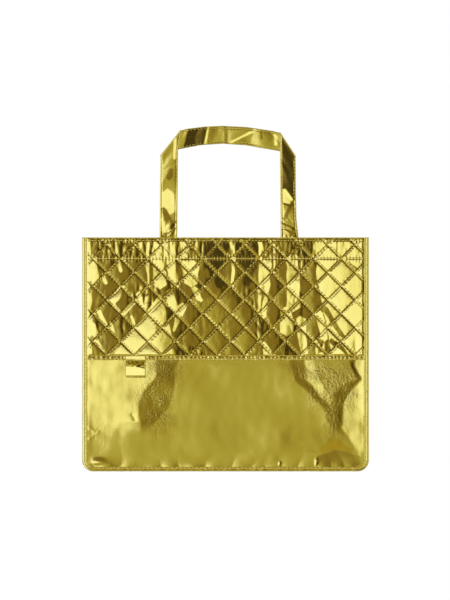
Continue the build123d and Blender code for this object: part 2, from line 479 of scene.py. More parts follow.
def grid(columns: int, rows: int, place: Place, facing: Vector | None = None) -> bmesh.types.BMesh:
    """Draws a sheet as a grid and puts each of its points in place.

    Args:
        columns: Faces along the first direction.
        rows: Faces along the second direction.
        place: Gives the places of points from arrays of their two coordinates, each from 0 to 1.
        facing: The direction that the sheet's outer side looks in, on the whole.

    Returns:
        The sheet's shape.
    """
    shape = bmesh.new()
    bmesh.ops.create_grid(shape, x_segments=columns, y_segments=rows, size=0.5)
    flat = np.array([v.co for v in shape.verts])
    placed = place(flat[:, 0] + 0.5, flat[:, 1] + 0.5)
    for vertex, point in zip(shape.verts, placed):
        vertex.co = point
    shape.normal_update()
    if facing is not None:
        total = sum((f.normal * f.calc_area() for f in shape.faces), Vector())
        if total.dot(facing) < 0:
            bmesh.ops.reverse_faces(shape, faces=shape.faces)
    return shape


def close(shape: bmesh.types.BMesh, gap: float) -> bmesh.types.BMesh:
    """Joins a tube's meeting edges, fills its ends and turns its faces outwards."""
    bmesh.ops.remove_doubles(shape, verts=shape.verts, dist=gap)
    rim = [e for e in shape.edges if e.is_boundary]
    if rim:
        bmesh.ops.holes_fill(shape, edges=rim, sides=0)
    bmesh.ops.recalc_face_normals(shape, faces=shape.faces)
    return shape


class Seam:
    """Rows of stitches, each a small rounded bead of thread."""

    def __init__(self, pitch: float, length: float, width: float, height: float) -> None:
        """Sets the stitch.

        Args:
            pitch: From one stitch to the next.
            length: Length of the thread that shows.
            width: Width of the thread.
            height: Thickness of the thread.
        """
        self.pitch = pitch
        self.size = np.array([length, width, height])
        self.beads: list[Points] = []
        pattern = bmesh.new()
        bmesh.ops.create_icosphere(pattern, subdivisions=1, radius=0.5)
        self.pattern = bpy.data.meshes.new("stitch")
        pattern.to_mesh(self.pattern)
        pattern.free()
        self.corners = np.array([v.co for v in self.pattern.vertices])

    def run(self, line: Callable[[np.ndarray], Points], outward: Vector) -> "Seam":
        """Sews along a line.

        Args:
            line: Gives the places of points from an array of shares of the line, from 0 to 1.
            outward: The direction away from the cloth.

        Returns:
            The seam itself.
        """
        fine = line(np.linspace(0.0, 1.0, 400))
        walked = walk(fine)
        count = max(1, int(walked[-1] / self.pitch))
        middles = (np.arange(count) + 0.5) * walked[-1] / count
        behind, centres, ahead = (
            np.stack([np.interp(middles + shift * self.pitch, walked, fine[:, k]) for k in range(3)], axis=-1)
            for shift in (-0.3, 0.0, 0.3)
        )
        along = ahead - behind
        along /= np.linalg.norm(along, axis=1)[:, None]
        up = np.broadcast_to(np.array(outward), along.shape)
        up = up - (up * along).sum(1)[:, None] * along
        up /= np.linalg.norm(up, axis=1)[:, None]
        across = np.cross(up, along)
        corners = self.corners * self.size
        for k in range(count):
            turn = np.stack([along[k], across[k], up[k]])
            self.beads.append(corners @ turn + centres[k])
        return self

    def made_of(self, thread: bpy.types.Material, name: str) -> Piece:
        """All the stitches as one piece."""
        shape = bmesh.new()
        for _ in self.beads:
            shape.from_mesh(self.pattern)
        placed = np.concatenate(self.beads)
        for vertex, point in zip(shape.verts, placed):
            vertex.co = point
        return Piece(name, shape, [thread])


# ---------------------------------------------------------------- the bag's sizes and relief


@dataclass
class Layout:
    """Sizes read from the frame, in metres."""

    top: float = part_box("front_binding")[1].z
    half_width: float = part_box("front_binding")[1].x
    half_panel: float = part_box("front_lower_panel")[1].x
    wall: float = -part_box("front_quilt_backing")[1].y
    quilt_skin: float = -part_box("front_quilt_face")[0].y
    plain_skin: float = -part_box("front_lower_panel")[0].y
    binding_skin: float = -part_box("front_binding")[0].y
    band_skin: float = -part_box("front_seam_band")[0].y
    band_low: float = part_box("front_seam_band")[0].z
    band_high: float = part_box("front_seam_band")[1].z
    hem_low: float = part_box("front_mouth_hem")[0].z
    corner: float = 0.016
    diamond: float = 0.0385
    crossing: tuple[float, float] = (-0.0114, 0.2773)
    hem_rows: tuple[float, float] = (0.2965, 0.3220)
    band_row: float = 0.1563


@dataclass(frozen=True)
class Table:
    """Values over an upright rectangle, in rows from its lower edge upwards."""

    values: np.ndarray
    half: float
    low: float
    high: float

    def at(self, x: np.ndarray, z: np.ndarray) -> np.ndarray:
        """The value at each point, read between the four values round it."""
        rows, columns = (size - 1 for size in self.values.shape)
        c = np.clip((x / self.half + 1) / 2 * columns, 0, columns - 1e-6)
        r = np.clip((z - self.low) / (self.high - self.low) * rows, 0, rows - 1e-6)
        ci, ri = np.floor(c).astype(int), np.floor(r).astype(int)
        cf, rf = c - ci, r - ri
        lower = self.values[ri, ci] * (1 - cf) + self.values[ri, ci + 1] * cf
        upper = self.values[ri + 1, ci] * (1 - cf) + self.values[ri + 1, ci + 1] * cf
        return lower * (1 - rf) + upper * rf


@dataclass(frozen=True)
class Swell:
    """A soft rise or hollow in a panel."""

    x: float
    z: float
    reach_x: float
    reach_z: float
    height: float

    def rise(self, x: np.ndarray, z: np.ndarray) -> np.ndarray:
        """Height of the swell at each point."""
        away = ((x - self.x) / self.reach_x) ** 2 + ((z - self.z) / self.reach_z) ** 2
        return self.height * np.exp(-away)


@dataclass(frozen=True)
class Crease:
    """A sharp ridge or valley that runs from one point to another and fades at its ends."""

    start: tuple[float, float]
    end: tuple[float, float]
    reach: float
    height: float

    def rise(self, x: np.ndarray, z: np.ndarray) -> np.ndarray:
        """Height of the crease at each point."""
        ax, az = self.start
        dx, dz = self.end[0] - ax, self.end[1] - az
        length = math.hypot(dx, dz)
        along = ((x - ax) * dx + (z - az) * dz) / length**2
        across = np.abs((x - ax) * dz - (z - az) * dx) / length
        fade = step(along, -0.15, 0.2) * (1 - step(along, 0.8, 1.15))
        return self.height * np.exp(-across / self.reach) * fade


class Tone(Enum):
    """Ways a facet of foil leans, as (rise to the right, rise upwards), by what it then mirrors."""

    BRIGHT = (0.050, 0.004)
    OLIVE = (0.000, 0.000)
    DULL = (-0.021, 0.006)
    DARK = (-0.046, 0.012)
    DEEP = (-0.092, 0.005)
    AMBER = (0.000, 0.150)


@dataclass(frozen=True)
class Facet:
    """A strip of the cloth that leans its own way, along a line from one end to the other, in millimetres."""

    start: tuple[float, float]
    end: tuple[float, float]
    widths: tuple[float, float]
    tone: Tone = Tone.BRIGHT
    soft: float = 2.0
    calm: float = 0.0
    point: float = 0.7

    def weight(self, x: np.ndarray, z: np.ndarray) -> np.ndarray:
        """1 inside the strip and 0 outside it."""
        (ax, az), (bx, bz) = self.start, self.end
        share = np.clip((z / MM - az) / (bz - az), 0.0, 1.0)
        beside = np.abs(x / MM - (ax + (bx - ax) * share))
        half = (self.widths[0] + (self.widths[1] - self.widths[0]) * share) / 2
        beyond = np.abs(z / MM - (az + bz) / 2) - abs(az - bz) / 2 + self.point * (beside - half / 2)
        within = 1 - step(beside, half - self.soft / 2, half + self.soft / 2)
        return within * (1 - step(beyond, 0.0, self.soft))


def leaning(facets: Sequence[Facet], x: np.ndarray, z: np.ndarray, rest: Tone) -> tuple[np.ndarray, ...]:
    """How a strip's facets lean, each laid over the ones before it.

    Args:
        facets: The facets.
        x: Across.
        z: Up.
        rest: How the cloth leans outside them.

    Returns:
        The slope to the right, the slope upwards, and the smoothness from 0 to 1, at each point.
    """
    found = [np.full(np.shape(x), value) for value in (*rest.value, 0.0)]
    for facet in facets:
        weight = facet.weight(x, z)
        found = [old + (new - old) * weight for old, new in zip(found, (*facet.tone.value, facet.calm))]
    return tuple(found)


@dataclass(frozen=True)
class RidgeLine:
    """A line that runs up a panel: the height, place across and rise of each of its turns, in millimetres."""

    turns: tuple[tuple[float, float, float], ...]

    def at(self, z: np.ndarray) -> tuple[np.ndarray, np.ndarray]:
        """The line's X and its height at each Z."""
        table = np.array(sorted(self.turns)) * MM
        return np.interp(z, table[:, 0], table[:, 1]), np.interp(z, table[:, 0], table[:, 2])


@dataclass
class PanelRelief:
    """How far a panel's cloth stands out: flat stretches between ridge lines, with swells and creases."""

    side: Side
    layout: Layout
    lines: Sequence[RidgeLine]
    facets: Sequence[Facet] = ()
    swells: Sequence[Swell] = ()
    creases: Sequence[Crease] = ()
    crushed: Sequence[Swell] = ()
    shades: Sequence[Facet] = ()
    seed: int = 3

    def __post_init__(self) -> None:
        """Draws the panel's noise."""
        self.noise = Noise(self.seed)

    def ridged(self, x: np.ndarray, z: np.ndarray) -> np.ndarray:
        """Height of the flat facets between the ridge lines."""
        placed = [line.at(z) for line in self.lines]
        total = placed[0][1].copy()
        for (x0, h0), (x1, h1) in zip(placed, placed[1:]):
            share = np.clip((x - x0) / np.maximum(x1 - x0, 0.0005), 0.0, 1.0)
            total += share * (h1 - h0)
        return total

    def rise(self, x: np.ndarray, z: np.ndarray) -> np.ndarray:
        """Height of the cloth's large shape at each point, which is 0 at the bindings."""
        x, z = np.broadcast_arrays(x, z)
        wave = 0.0016 * self.noise.smooth(x / 0.016, z / 0.016)
        wander = 0.0016 * self.noise.smooth(x / 0.016 + 31.0, z / 0.016 + 17.0)
        nearby = [(0.0014, 0.0), (-0.0014, 0.0), (0.0, 0.0014), (0.0, -0.0014)]
        total = sum(self.ridged(x + wave + dx, z + wander + dz) for dx, dz in nearby) / len(nearby)
        for shape in (*self.swells, *self.creases):
            total = total + shape.rise(x, z)
        half = self.layout.half_panel
        return total * step(half - np.abs(x), 0.0, 0.004) * step(z, 0.005, 0.012)

    def crush(self, x: np.ndarray, z: np.ndarray) -> np.ndarray:
        """How crushed the film is at each point, from 0 to 1."""
        total = sum((patch.rise(x, z) for patch in self.crushed), np.zeros(np.shape(x)))
        return np.clip(total * (0.8 + 0.8 * self.noise.smooth(x / 0.014, z / 0.014)), 0.0, 1.0)

    def lean(self, x: np.ndarray, z: np.ndarray, rest: Tone, quilted: bool = True) -> tuple[np.ndarray, ...]:
        """How the facets of the quilted part, or of the plain part, lean from the way the cloth rests."""
        wave = 0.002 * self.noise.smooth(x / 0.012 + 5.0, z / 0.018)
        return leaning(self.facets if quilted else self.shades, x + wave, z, rest)

    def y(self, skin: object, x: np.ndarray, z: np.ndarray) -> np.ndarray:
        """Y of a layer whose flat face is at skin."""
        return self.side.value * (skin + self.rise(x, z))


# ---------------------------------------------------------------- panels


@dataclass
class Settling:
    """A short cloth simulation of a sewn sheet, which the wadding presses outwards between its stitches."""

    half: float
    low: float
    high: float
    start: Callable[[np.ndarray, np.ndarray], np.ndarray]
    sewn: Callable[[np.ndarray, np.ndarray], np.ndarray]
    spacing: float = 0.0022
    enlarged: float = 10.0
    slack: float = 0.006
    pressure: float = 1.0
    bending: float = 0.5
    frames: int = 16
    limit: float = 0.0004
    smoothing: int = 2

    def run(self) -> Table:
        """Simulates the sheet, held at its stitches, and gives how far each point of it moves outwards."""
        columns = int(2 * self.half / self.spacing)
        rows = int((self.high - self.low) / self.spacing)

        def place(u: np.ndarray, v: np.ndarray) -> Points:
            """Places of the sheet before it settles, enlarged for the solver."""
            x, z = (2 * u - 1) * self.half, self.low + (self.high - self.low) * v
            return stack(x, -self.start(x, z), z) * self.enlarged

        trial = Piece("settling", grid(columns, rows, place, Side.FRONT.outward), [])
        before = np.array([v.co for v in trial.object.data.vertices]) / self.enlarged
        held = np.flatnonzero(self.sewn(before[:, 0], before[:, 2]))
        stitches = trial.object.vertex_groups.new(name="sewn")
        stitches.add([int(k) for k in held], 1.0, "REPLACE")
        cloth = trial.object.modifiers.new("cloth", "CLOTH")
        laminate = {
            "quality": 5,
            "mass": 0.1,
            "tension_stiffness": 20,
            "compression_stiffness": 20,
            "shear_stiffness": 10,
            "bending_stiffness": self.bending,
            "air_damping": 2,
            "vertex_group_mass": stitches.name,
            "shrink_min": -self.slack,
            "use_pressure": True,
            "uniform_pressure_force": self.pressure,
        }
        for name, value in laminate.items():
            setattr(cloth.settings, name, value)
        cloth.settings.effector_weights.gravity = 0
        cloth.collision_settings.use_collision = False
        cloth.point_cache.frame_start, cloth.point_cache.frame_end = 1, self.frames
        scene = bpy.context.scene
        for frame_number in range(1, self.frames + 1):
            scene.frame_set(frame_number)
        settled = trial.object.evaluated_get(bpy.context.evaluated_depsgraph_get()).to_mesh()
        after = np.array([v.co for v in settled.vertices]) / self.enlarged
        order = np.lexsort((before[:, 0], before[:, 2]))
        moved = np.clip(before[order, 1] - after[order, 1], -self.limit, self.limit)
        moved = moved.reshape(rows + 1, columns + 1)
        for _ in range(self.smoothing):
            padded = np.pad(moved, 1, mode="edge")
            shifts = ((r, c) for r in range(3) for c in range(3))
            moved[:] = sum(padded[r : r + rows + 1, c : c + columns + 1] for r, c in shifts) / 9
        mesh = trial.object.data
        bpy.data.objects.remove(trial.object)
        bpy.data.meshes.remove(mesh)
        scene.frame_set(1)
        return Table(moved, self.half, self.low, self.high)


@dataclass(frozen=True)
class Wrinkling:
    """How deep one kind of wrinkle is: everywhere, and how much deeper in crumpled patches and in the hem."""

    least: float
    patchy: float
    hem: float

    def depth(self, patchy: np.ndarray, hem: np.ndarray) -> np.ndarray:
        """The wrinkles' depth at each point, from how far it is in a patch and in the hem."""
        return self.least + self.patchy * patchy + self.hem * hem


@dataclass
class QuiltedPanel:
    """The quilted upper panel: a puffed outer skin over wadding, its backing, and its stitching."""

    relief: PanelRelief
    foil: bpy.types.Material
    lining: bpy.types.Material
    thread: bpy.types.Material
    rest: Tone = Tone.DARK
    seed: int = 11
    puff: float = 0.0005
    doming: float = 0.0001
    sunk: float = 0.0012
    pitch: float = 0.0046
    pucker: float = 0.00013
    hem_pitch: float = 0.0045
    hem_pucker: float = 0.00014
    streaks: Wrinkling = Wrinkling(0.00005, 0.00028, 0.00022)
    crushes: Wrinkling = Wrinkling(0.00005, 0.00022, 0.00012)
    lining_puff: float = 0.0010
    step_across: float = 0.00094
    settled: float = 0.35
    moved: Table | None = None

    def diagonals(self, x: np.ndarray, z: np.ndarray) -> tuple[np.ndarray, np.ndarray]:
        """Each point's place along both diagonals, counted in quilting lines."""
        lay = self.relief.layout
        p = (x - lay.crossing[0] + z - lay.crossing[1]) / lay.diamond
        q = (x - lay.crossing[0] - z + lay.crossing[1]) / lay.diamond
        return p, q

    def gaps(self, x: np.ndarray, z: np.ndarray) -> tuple[np.ndarray, ...]:
        """How far each point is from the nearest quilting line both ways, 0 on a line and 1 mid-way."""
        return tuple(1 - 2 * np.abs(place - np.floor(place) - 0.5) for place in self.diagonals(x, z))

    def pillow(self, x: np.ndarray, z: np.ndarray) -> tuple[np.ndarray, ...]:
        """The pillow that each point lies in, by its numbers along both diagonals."""
        return tuple(np.floor(place) + 0.5 for place in self.diagonals(x, z))

    def tilt(self, points: Points) -> Points:
        """How each point's facet leans, as a vector to add to its outward direction."""
        x, z, noise = points[:, 0], points[:, 2], Noise(self.seed)
        p, q = self.pillow(x, z)
        right, up, _ = self.relief.lean(x, z, self.rest)
        right = right + 0.022 * noise.smooth(p * 3.7, q * 5.1)
        up = up + 0.020 * noise.smooth(p * 4.3 + 50, q * 3.1)
        return stack(-right, 0.0, -up)

    def puffed(self, x: np.ndarray, z: np.ndarray) -> np.ndarray:
        """Height of the outer skin above its stitched lines."""
        lay, noise = self.relief.layout, Noise(self.seed)
        gap_p, gap_q = self.gaps(x, z)
        p, q = self.pillow(x, z)
        calm = self.relief.lean(x, z, self.rest)[2]
        fullness = 1.0 + 0.8 * noise.smooth(p * 2.9 + 20, q * 4.7)
        held = np.minimum(gap_p, gap_q)
        flat = (1 - (1 - gap_p) ** 18) * (1 - (1 - gap_q) ** 18)
        dome = (1 - (1 - gap_p) ** 2) * (1 - (1 - gap_q) ** 2)
        streak = noise.creased(x / 0.011 + 3.0, z / 0.052 + 2.0) - 0.5
        crush = noise.creased(x / 0.013, z / 0.018 + 7.0) - 0.5
        patchy = step(noise.smooth(x / 0.030 + 9, z / 0.045), 0.15, 0.7) * (1 - calm)
        high = step(z, lay.hem_rows[0] - 0.012, lay.hem_rows[0] + 0.004)
        wrinkled = 1 - 0.8 * calm
        height = fullness * (flat * self.puff + self.doming * dome)
        height += flat * self.streaks.depth(patchy, high) * streak * wrinkled
        height += flat * self.crushes.depth(patchy, high) * crush * wrinkled
        ripple = np.where(gap_p < gap_q, x - z, x + z) / math.sqrt(2)
        pucker = np.sin(2 * math.pi * ripple / self.pitch + 5.0 * noise.smooth(x / 0.017, z / 0.017))
        uneven = np.clip(0.6 + 1.1 * noise.smooth(x / 0.021 + 40, z / 0.021), 0.1, 1.4)
        height += self.pucker * uneven * np.exp(-held / 0.12) * pucker * step(held, 0.0, 0.05)
        for row in lay.hem_rows:
            gap = np.abs(z - row)
            height *= 0.7 + 0.3 * step(gap, 0.0, 0.0015)
            height += self.hem_pucker * np.exp(-gap / 0.0020) * np.sin(2 * math.pi * x / self.hem_pitch)
        if self.moved is not None:
            height += self.settled * self.moved.at(x, z) * (1 - high) * (1 - 0.6 * calm)
        edge = np.minimum(lay.half_panel - np.abs(x), np.minimum(z - lay.band_high + 0.002, lay.top - z))
        return np.maximum(height, -0.0005) * step(edge, 0.0, 0.004)

    def sewn(self, x: np.ndarray, z: np.ndarray) -> np.ndarray:
        """Whether each point is held by a stitch or by the panel's edge."""
        lay = self.relief.layout
        gap_p, gap_q = self.gaps(x, z)
        edge = np.minimum(lay.half_panel - np.abs(x), np.minimum(z - lay.band_high, lay.top - z))
        in_row = sum(np.abs(z - row) < 0.0012 for row in lay.hem_rows)
        return (np.minimum(gap_p, gap_q) < 0.09) | (edge < 0.002) | (in_row > 0)

    def skin(self, x: np.ndarray, z: np.ndarray) -> np.ndarray:
        """Y of the outer skin."""
        stitched = self.relief.layout.quilt_skin - self.sunk
        return self.relief.y(stitched + self.puffed(x, z), x, z)

    def build(self) -> None:
        """Builds the skin, the backing and the quilting."""
        side, lay = self.relief.side, self.relief.layout
        low, high, half = lay.band_low + 0.002, lay.top - 0.0003, lay.half_panel + 0.0004
        columns = int(2 * half / self.step_across)
        rows = int((high - low) / self.step_across)
        self.moved = Settling(half, low, high, self.puffed, self.sewn).run()

        def outer(u: np.ndarray, v: np.ndarray) -> Points:
            """Places of the outer skin."""
            x, z = (2 * u - 1) * half, low + (high - low) * v
            return stack(x, self.skin(x, z), z)

        shape = grid(columns, rows, outer, side.outward)
        skin = Piece(f"{side.word}_quilt", shape, [self.foil, self.lining])
        skin.note("tilt", self.tilt).thicken(0.0005, lining=1)
        skin.ride(side.word).stands_for(f"{side.word}_quilt_face", f"{side.word}_wadding")

        def inner(u: np.ndarray, v: np.ndarray) -> Points:
            """Places of the backing, which puffs a little into the bag below the hem."""
            x, z = (2 * u - 1) * (half - 0.0012), low + (high - low) * v
            gap_p, gap_q = self.gaps(x, z)
            pillow = (1 - (1 - gap_p) ** 2) * (1 - (1 - gap_q) ** 2)
            below_hem = 1 - step(z, lay.hem_low - 0.010, lay.hem_low - 0.002)
            free = below_hem * step(half - np.abs(x), 0.002, 0.010)
            puffed = side.value * self.lining_puff * pillow * free
            return stack(x, self.relief.y(lay.wall + 0.0004, x, z) - puffed, z)

        shape = grid(columns // 2, rows // 2, inner, -side.outward)
        backing = Piece(f"{side.word}_quilt_lining", shape, [self.lining]).thicken(0.0004)
        backing.ride(side.word).stands_for(f"{side.word}_quilt_backing", slot="white_backing")
        2 * half
        high - low
        self.sew()

    def sew(self) -> None:
        """Sews the crossed rows and the two hem rows."""
        side, lay = self.relief.side, self.relief.layout
        low, high, half = lay.band_high, lay.top - 0.002, lay.half_panel - 0.001
        quilting = Seam(pitch=self.pitch, length=0.0027, width=0.0010, height=0.0008)
        reach = math.ceil((half + high - low) / lay.diamond) + 1
        for lean in (1, -1):
            for number in range(-reach, reach + 1):
                foot = lay.crossing[0] + number * lay.diamond - lean * (lay.crossing[1] - low)
                ends = [foot, foot + lean * (high - low)]
                start = np.clip(ends, -half, half)
                if abs(start[1] - start[0]) < 0.006:
                    continue
                heights = low + (start - foot) * lean

                def line(t: np.ndarray, a: np.ndarray = start, b: np.ndarray = heights) -> Points:
                    """Places along one diagonal row."""
                    x, z = a[0] + (a[1] - a[0]) * t, b[0] + (b[1] - b[0]) * t
                    return stack(x, self.skin(x, z) + side.value * 0.0002, z)

                quilting.run(line, side.outward)
        rows = quilting.made_of(self.thread, f"{side.word}_quilting_stitches")
        rows.ride(side.word).stands_for(f"{side.word}_quilting_thread", slot="gold_thread")
        hems = Seam(pitch=self.hem_pitch, length=0.0030, width=0.0011, height=0.0008)
        for row in lay.hem_rows:

            def level(t: np.ndarray, z: float = row) -> Points:
                """Places along one level row."""
                x = (2 * t - 1) * half
                return stack(x, self.skin(x, np.full_like(x, z)) + side.value * 0.0003, z)

            hems.run(level, side.outward)
        hem = hems.made_of(self.thread, f"{side.word}_hem_stitches")
        hem.ride(side.word).stands_for(f"{side.word}_hem_thread", slot="gold_thread")


@dataclass
class PlainPanel:
    """The smooth lower panel."""

    relief: PanelRelief
    foil: bpy.types.Material
    lining: bpy.types.Material
    seed: int = 21
    faces: tuple[int, int] = (338, 138)
    sag: float = 0.00022
    ripple: float = 0.00003
    grain: float = 0.00011
    tuck: float = 0.0004

    def skin(self, x: np.ndarray, z: np.ndarray) -> np.ndarray:
        """Y of the outer face."""
        lay, noise = self.relief.layout, Noise(self.seed)
        edge = np.minimum(lay.half_panel - np.abs(x), np.minimum(z - 0.006, lay.band_low - z))
        soft = self.sag * noise.smooth(x / 0.055, z / 0.045)
        soft = soft + self.ripple * noise.smooth(x / 0.014, z / 0.017)
        grain = self.grain * noise.smooth(x / 0.0027, z / 0.0027) * self.relief.crush(x, z)
        tucks = np.exp(-np.maximum(z - 0.006, 0) / 0.008) * self.tuck * noise.creased(x / 0.03, z / 0.05)
        held = step(edge, 0.0, 0.01)
        return self.relief.y(lay.plain_skin - 0.0002 + (soft + grain) * held + tucks, x, z)

    def tilt(self, points: Points) -> Points:
        """How each point's facet leans, as a vector to add to its outward direction."""
        right, up, _ = self.relief.lean(points[:, 0], points[:, 2], Tone.OLIVE, quilted=False)
        return stack(-right, 0.0, -up)

    def build(self) -> None:
        """Builds the panel."""
        side, lay = self.relief.side, self.relief.layout
        low, high, half = 0.0052, lay.band_high - 0.003, lay.half_panel + 0.0006
        corner = lay.corner - 0.0052

        def place(u: np.ndarray, v: np.ndarray) -> Points:
            """Places of the sheet, whose lower corners are drawn in round the bag's corner."""
            x, z = (2 * u - 1) * half, low + (high - low) * v
            down = np.clip(low + corner - z, 0, corner)
            inset = corner - np.sqrt(np.maximum(corner**2 - down**2, 0))
            x = x * (half - inset) / half
            return stack(x, self.skin(x, z), z)

        shape = grid(*self.faces, place, side.outward)
        panel = Piece(f"{side.word}_plain_panel", shape, [self.foil, self.lining])
        panel.note("crushed", lambda points: self.relief.crush(points[:, 0], points[:, 2]))
        panel.note("tilt", self.tilt).thicken(0.0005, lining=1)
        panel.ride(side.word).stands_for(f"{side.word}_lower_panel")


@dataclass
class SeamBand:
    """The puckered lap of the lower panel over the quilt, and its row of stitches."""

    relief: PanelRelief
    foil: bpy.types.Material
    thread: bpy.types.Material
    skip: tuple[float, float] | None = None
    seed: int = 31
    cut: float = 0.0115

    def build(self) -> None:
        """Builds the lap and sews it."""
        side, lay, noise = self.relief.side, self.relief.layout, Noise(self.seed)
        half = lay.half_panel + 0.0004
        high, row, low = lay.band_high, lay.band_row, lay.band_low
        heights = np.array(
            [high - 0.0012, high, high, high - 0.0012, row + 0.0016, row, row - 0.0010, low, low])
        depths = np.array([-0.0016, -0.0014, -0.0003, 0.0002, 0.0001, -0.0006, -0.0001, -0.0005, -0.0024])

        def place(u: np.ndarray, v: np.ndarray) -> Points:
            """Places of the lap: rolled at its upper edge, drawn in along its stitches."""
            x = (2 * u - 1) * half
            at = v * (len(heights) - 1)
            z = np.interp(at, np.arange(len(heights)), heights)
            out = np.interp(at, np.arange(len(depths)), depths)
            pucker = np.sin(2 * math.pi * x / 0.0058 + 3 * noise.smooth(x / 0.03, x * 0))
            gather = noise.creased(x / 0.0065, z / 0.004) - 0.4
            out = out + 0.00018 * pucker * step(v, 0.3, 0.5) + 0.0004 * gather * step(v, 0.15, 0.35)
            z = z + 0.00035 * noise.smooth(x / 0.012, z / 0.02) * step(v, 0.05, 0.3)
            return stack(x, self.relief.y(lay.band_skin, x, z) + side.value * out, z)

        band = Piece(f"{side.word}_seam_lap", grid(480, 24, place, side.outward), [self.foil])
        band.thicken(0.0004)
        band.ride(side.word).stands_for(f"{side.word}_seam_band")

        def stitched(t: np.ndarray) -> Points:
            """Places along the row of stitches."""
            x = (2 * t - 1) * (half - 0.002)
            z = np.full_like(x, lay.band_row)
            return stack(x, self.relief.y(lay.band_skin, x, z) - side.value * 0.0001, z)

        seam = Seam(pitch=0.0058, length=0.0042, width=0.001, height=0.0008).run(stitched, side.outward)
        if self.skip is not None:
            seam.beads = [b for b in seam.beads if not self.skip[0] < b[:, 0].mean() < self.skip[1]]
        stitches = seam.made_of(self.thread, f"{side.word}_lap_stitches")
        stitches.ride(side.word).stands_for(f"{side.word}_band_thread", slot="gold_thread")


class RoundedU:
    """The path down one side of a panel, round its two lower corners and up the other side."""

    def __init__(self, half: float, top: float, corner: float) -> None:
        """Works out the lengths of the path's five stretches.

        Args:
            half: Half the outside width.
            top: Height of the two upper ends.
            corner: Radius of the lower corners.
        """
        self.half, self.top, self.corner = half, top, corner
        bend = corner * math.pi / 2
        self.marks = np.cumsum([0.0, top - corner, bend, 2 * (half - corner), bend, top - corner])
        self.length = self.marks[-1]

    def at(self, walked: np.ndarray, inset: np.ndarray | float) -> tuple[np.ndarray, np.ndarray]:
        """X and Z at a distance along the path, moved towards the panel's middle by inset."""
        m, r = self.marks, self.corner
        down = np.clip(walked, 0, m[1])
        first = np.clip(walked - m[1], 0, m[2] - m[1]) / r
        across = np.clip(walked - m[2], 0, m[3] - m[2])
        second = np.clip(walked - m[3], 0, m[4] - m[3]) / r
        up = np.clip(walked - m[4], 0, m[5] - m[4])
        left = walked < m[2] + (m[3] - m[2]) / 2
        turn = np.where(left, first, math.pi / 2 - second)
        centre_x = np.where(left, -self.half + r, self.half - r)
        reach = r - inset
        x = np.where(left, centre_x - reach * np.cos(turn), centre_x + reach * np.cos(turn))
        x = x + np.where(left, across, across - (m[3] - m[2]))
        z = np.where(left, self.top - down, r + up)
        z = np.where(left & (first > 0), r - reach * np.sin(turn), z)
        z = np.where(~left & (up <= 0), r - reach * np.sin(turn), z)
        return x, z


@dataclass
class EdgeBinding:
    """The strip folded round a panel's sides and bottom, puckered along its row of stitches."""

    side: Side
    layout: Layout
    foil: bpy.types.Material
    thread: bpy.types.Material
    seed: int = 41
    stitch_inset: float = 0.0047
    cut: float = 0.0185

    def build(self) -> None:
        """Builds the binding and sews it."""
        lay, noise = self.layout, Noise(self.seed)
        path = RoundedU(lay.half_width, lay.top + 0.0002, lay.corner)
        face = lay.binding_skin
        insets = MM * np.array([6.2, 3.0, 0.9, 0.15, 0.0, 0.15, 0.9, 2.4, 3.6, 4.7, 5.4, 6.1, 6.4, 6.3])
        outs = MM * np.array(
            [59.9, 59.8, 60.0, 60.5, 61.6, 62.9, 63.8, 64.2, 64.1, 63.4, 63.7, 63.6, 63.0, 61.0])
        outs = outs + (face - 0.0642)
        knots = np.arange(len(insets))

        def place(u: np.ndarray, v: np.ndarray) -> Points:
            """Places round the folded strip, all along the path."""
            walked, at = u * path.length, v * knots[-1]
            inset, out = np.interp(at, knots, insets), np.interp(at, knots, outs)
            front = step(out, 0.062, 0.0634)
            pinch = bell(inset, self.stitch_inset, 0.0012) * front
            scallop = np.sin(2 * math.pi * walked / 0.0057 + 2 * noise.smooth(walked / 0.05, walked * 0))
            low = step(walked, path.marks[1] - 0.06, path.marks[2])
            low = low * (1 - step(walked, path.marks[3], path.marks[4] + 0.06))
            crush = noise.creased(walked / 0.009, inset / 0.006 + 3) - 0.45
            out = out + (0.00022 - 0.00016 * low) * scallop * pinch + 0.00014 * crush * front
            inset = inset + 0.00016 * noise.smooth(walked / 0.02, inset * 0 + 8)
            inset = inset + low * 0.0002 * noise.smooth(walked / 0.006, inset * 0 + 4)
            x, z = path.at(walked, inset)
            return stack(x, self.side.value * out, z)

        shape = grid(560, 42, place, Vector((0, 0, -1)))
        strip = Piece(f"{self.side.word}_edge_binding", shape, [self.foil]).thicken(0.0004)
        strip.ride(self.side.word).stands_for(f"{self.side.word}_binding")

        def row(t: np.ndarray) -> Points:
            """Places along the row of stitches."""
            walked = t * path.length
            x, z = path.at(walked, self.stitch_inset)
            return stack(x, self.side.value * (face - 0.0006), z)

        seam = Seam(pitch=0.0057, length=0.0040, width=0.001, height=0.0008).run(row, self.side.outward)
        stitches = seam.made_of(self.thread, f"{self.side.word}_binding_stitches")
        stitches.ride(self.side.word).stands_for(f"{self.side.word}_binding_thread", slot="gold_thread")


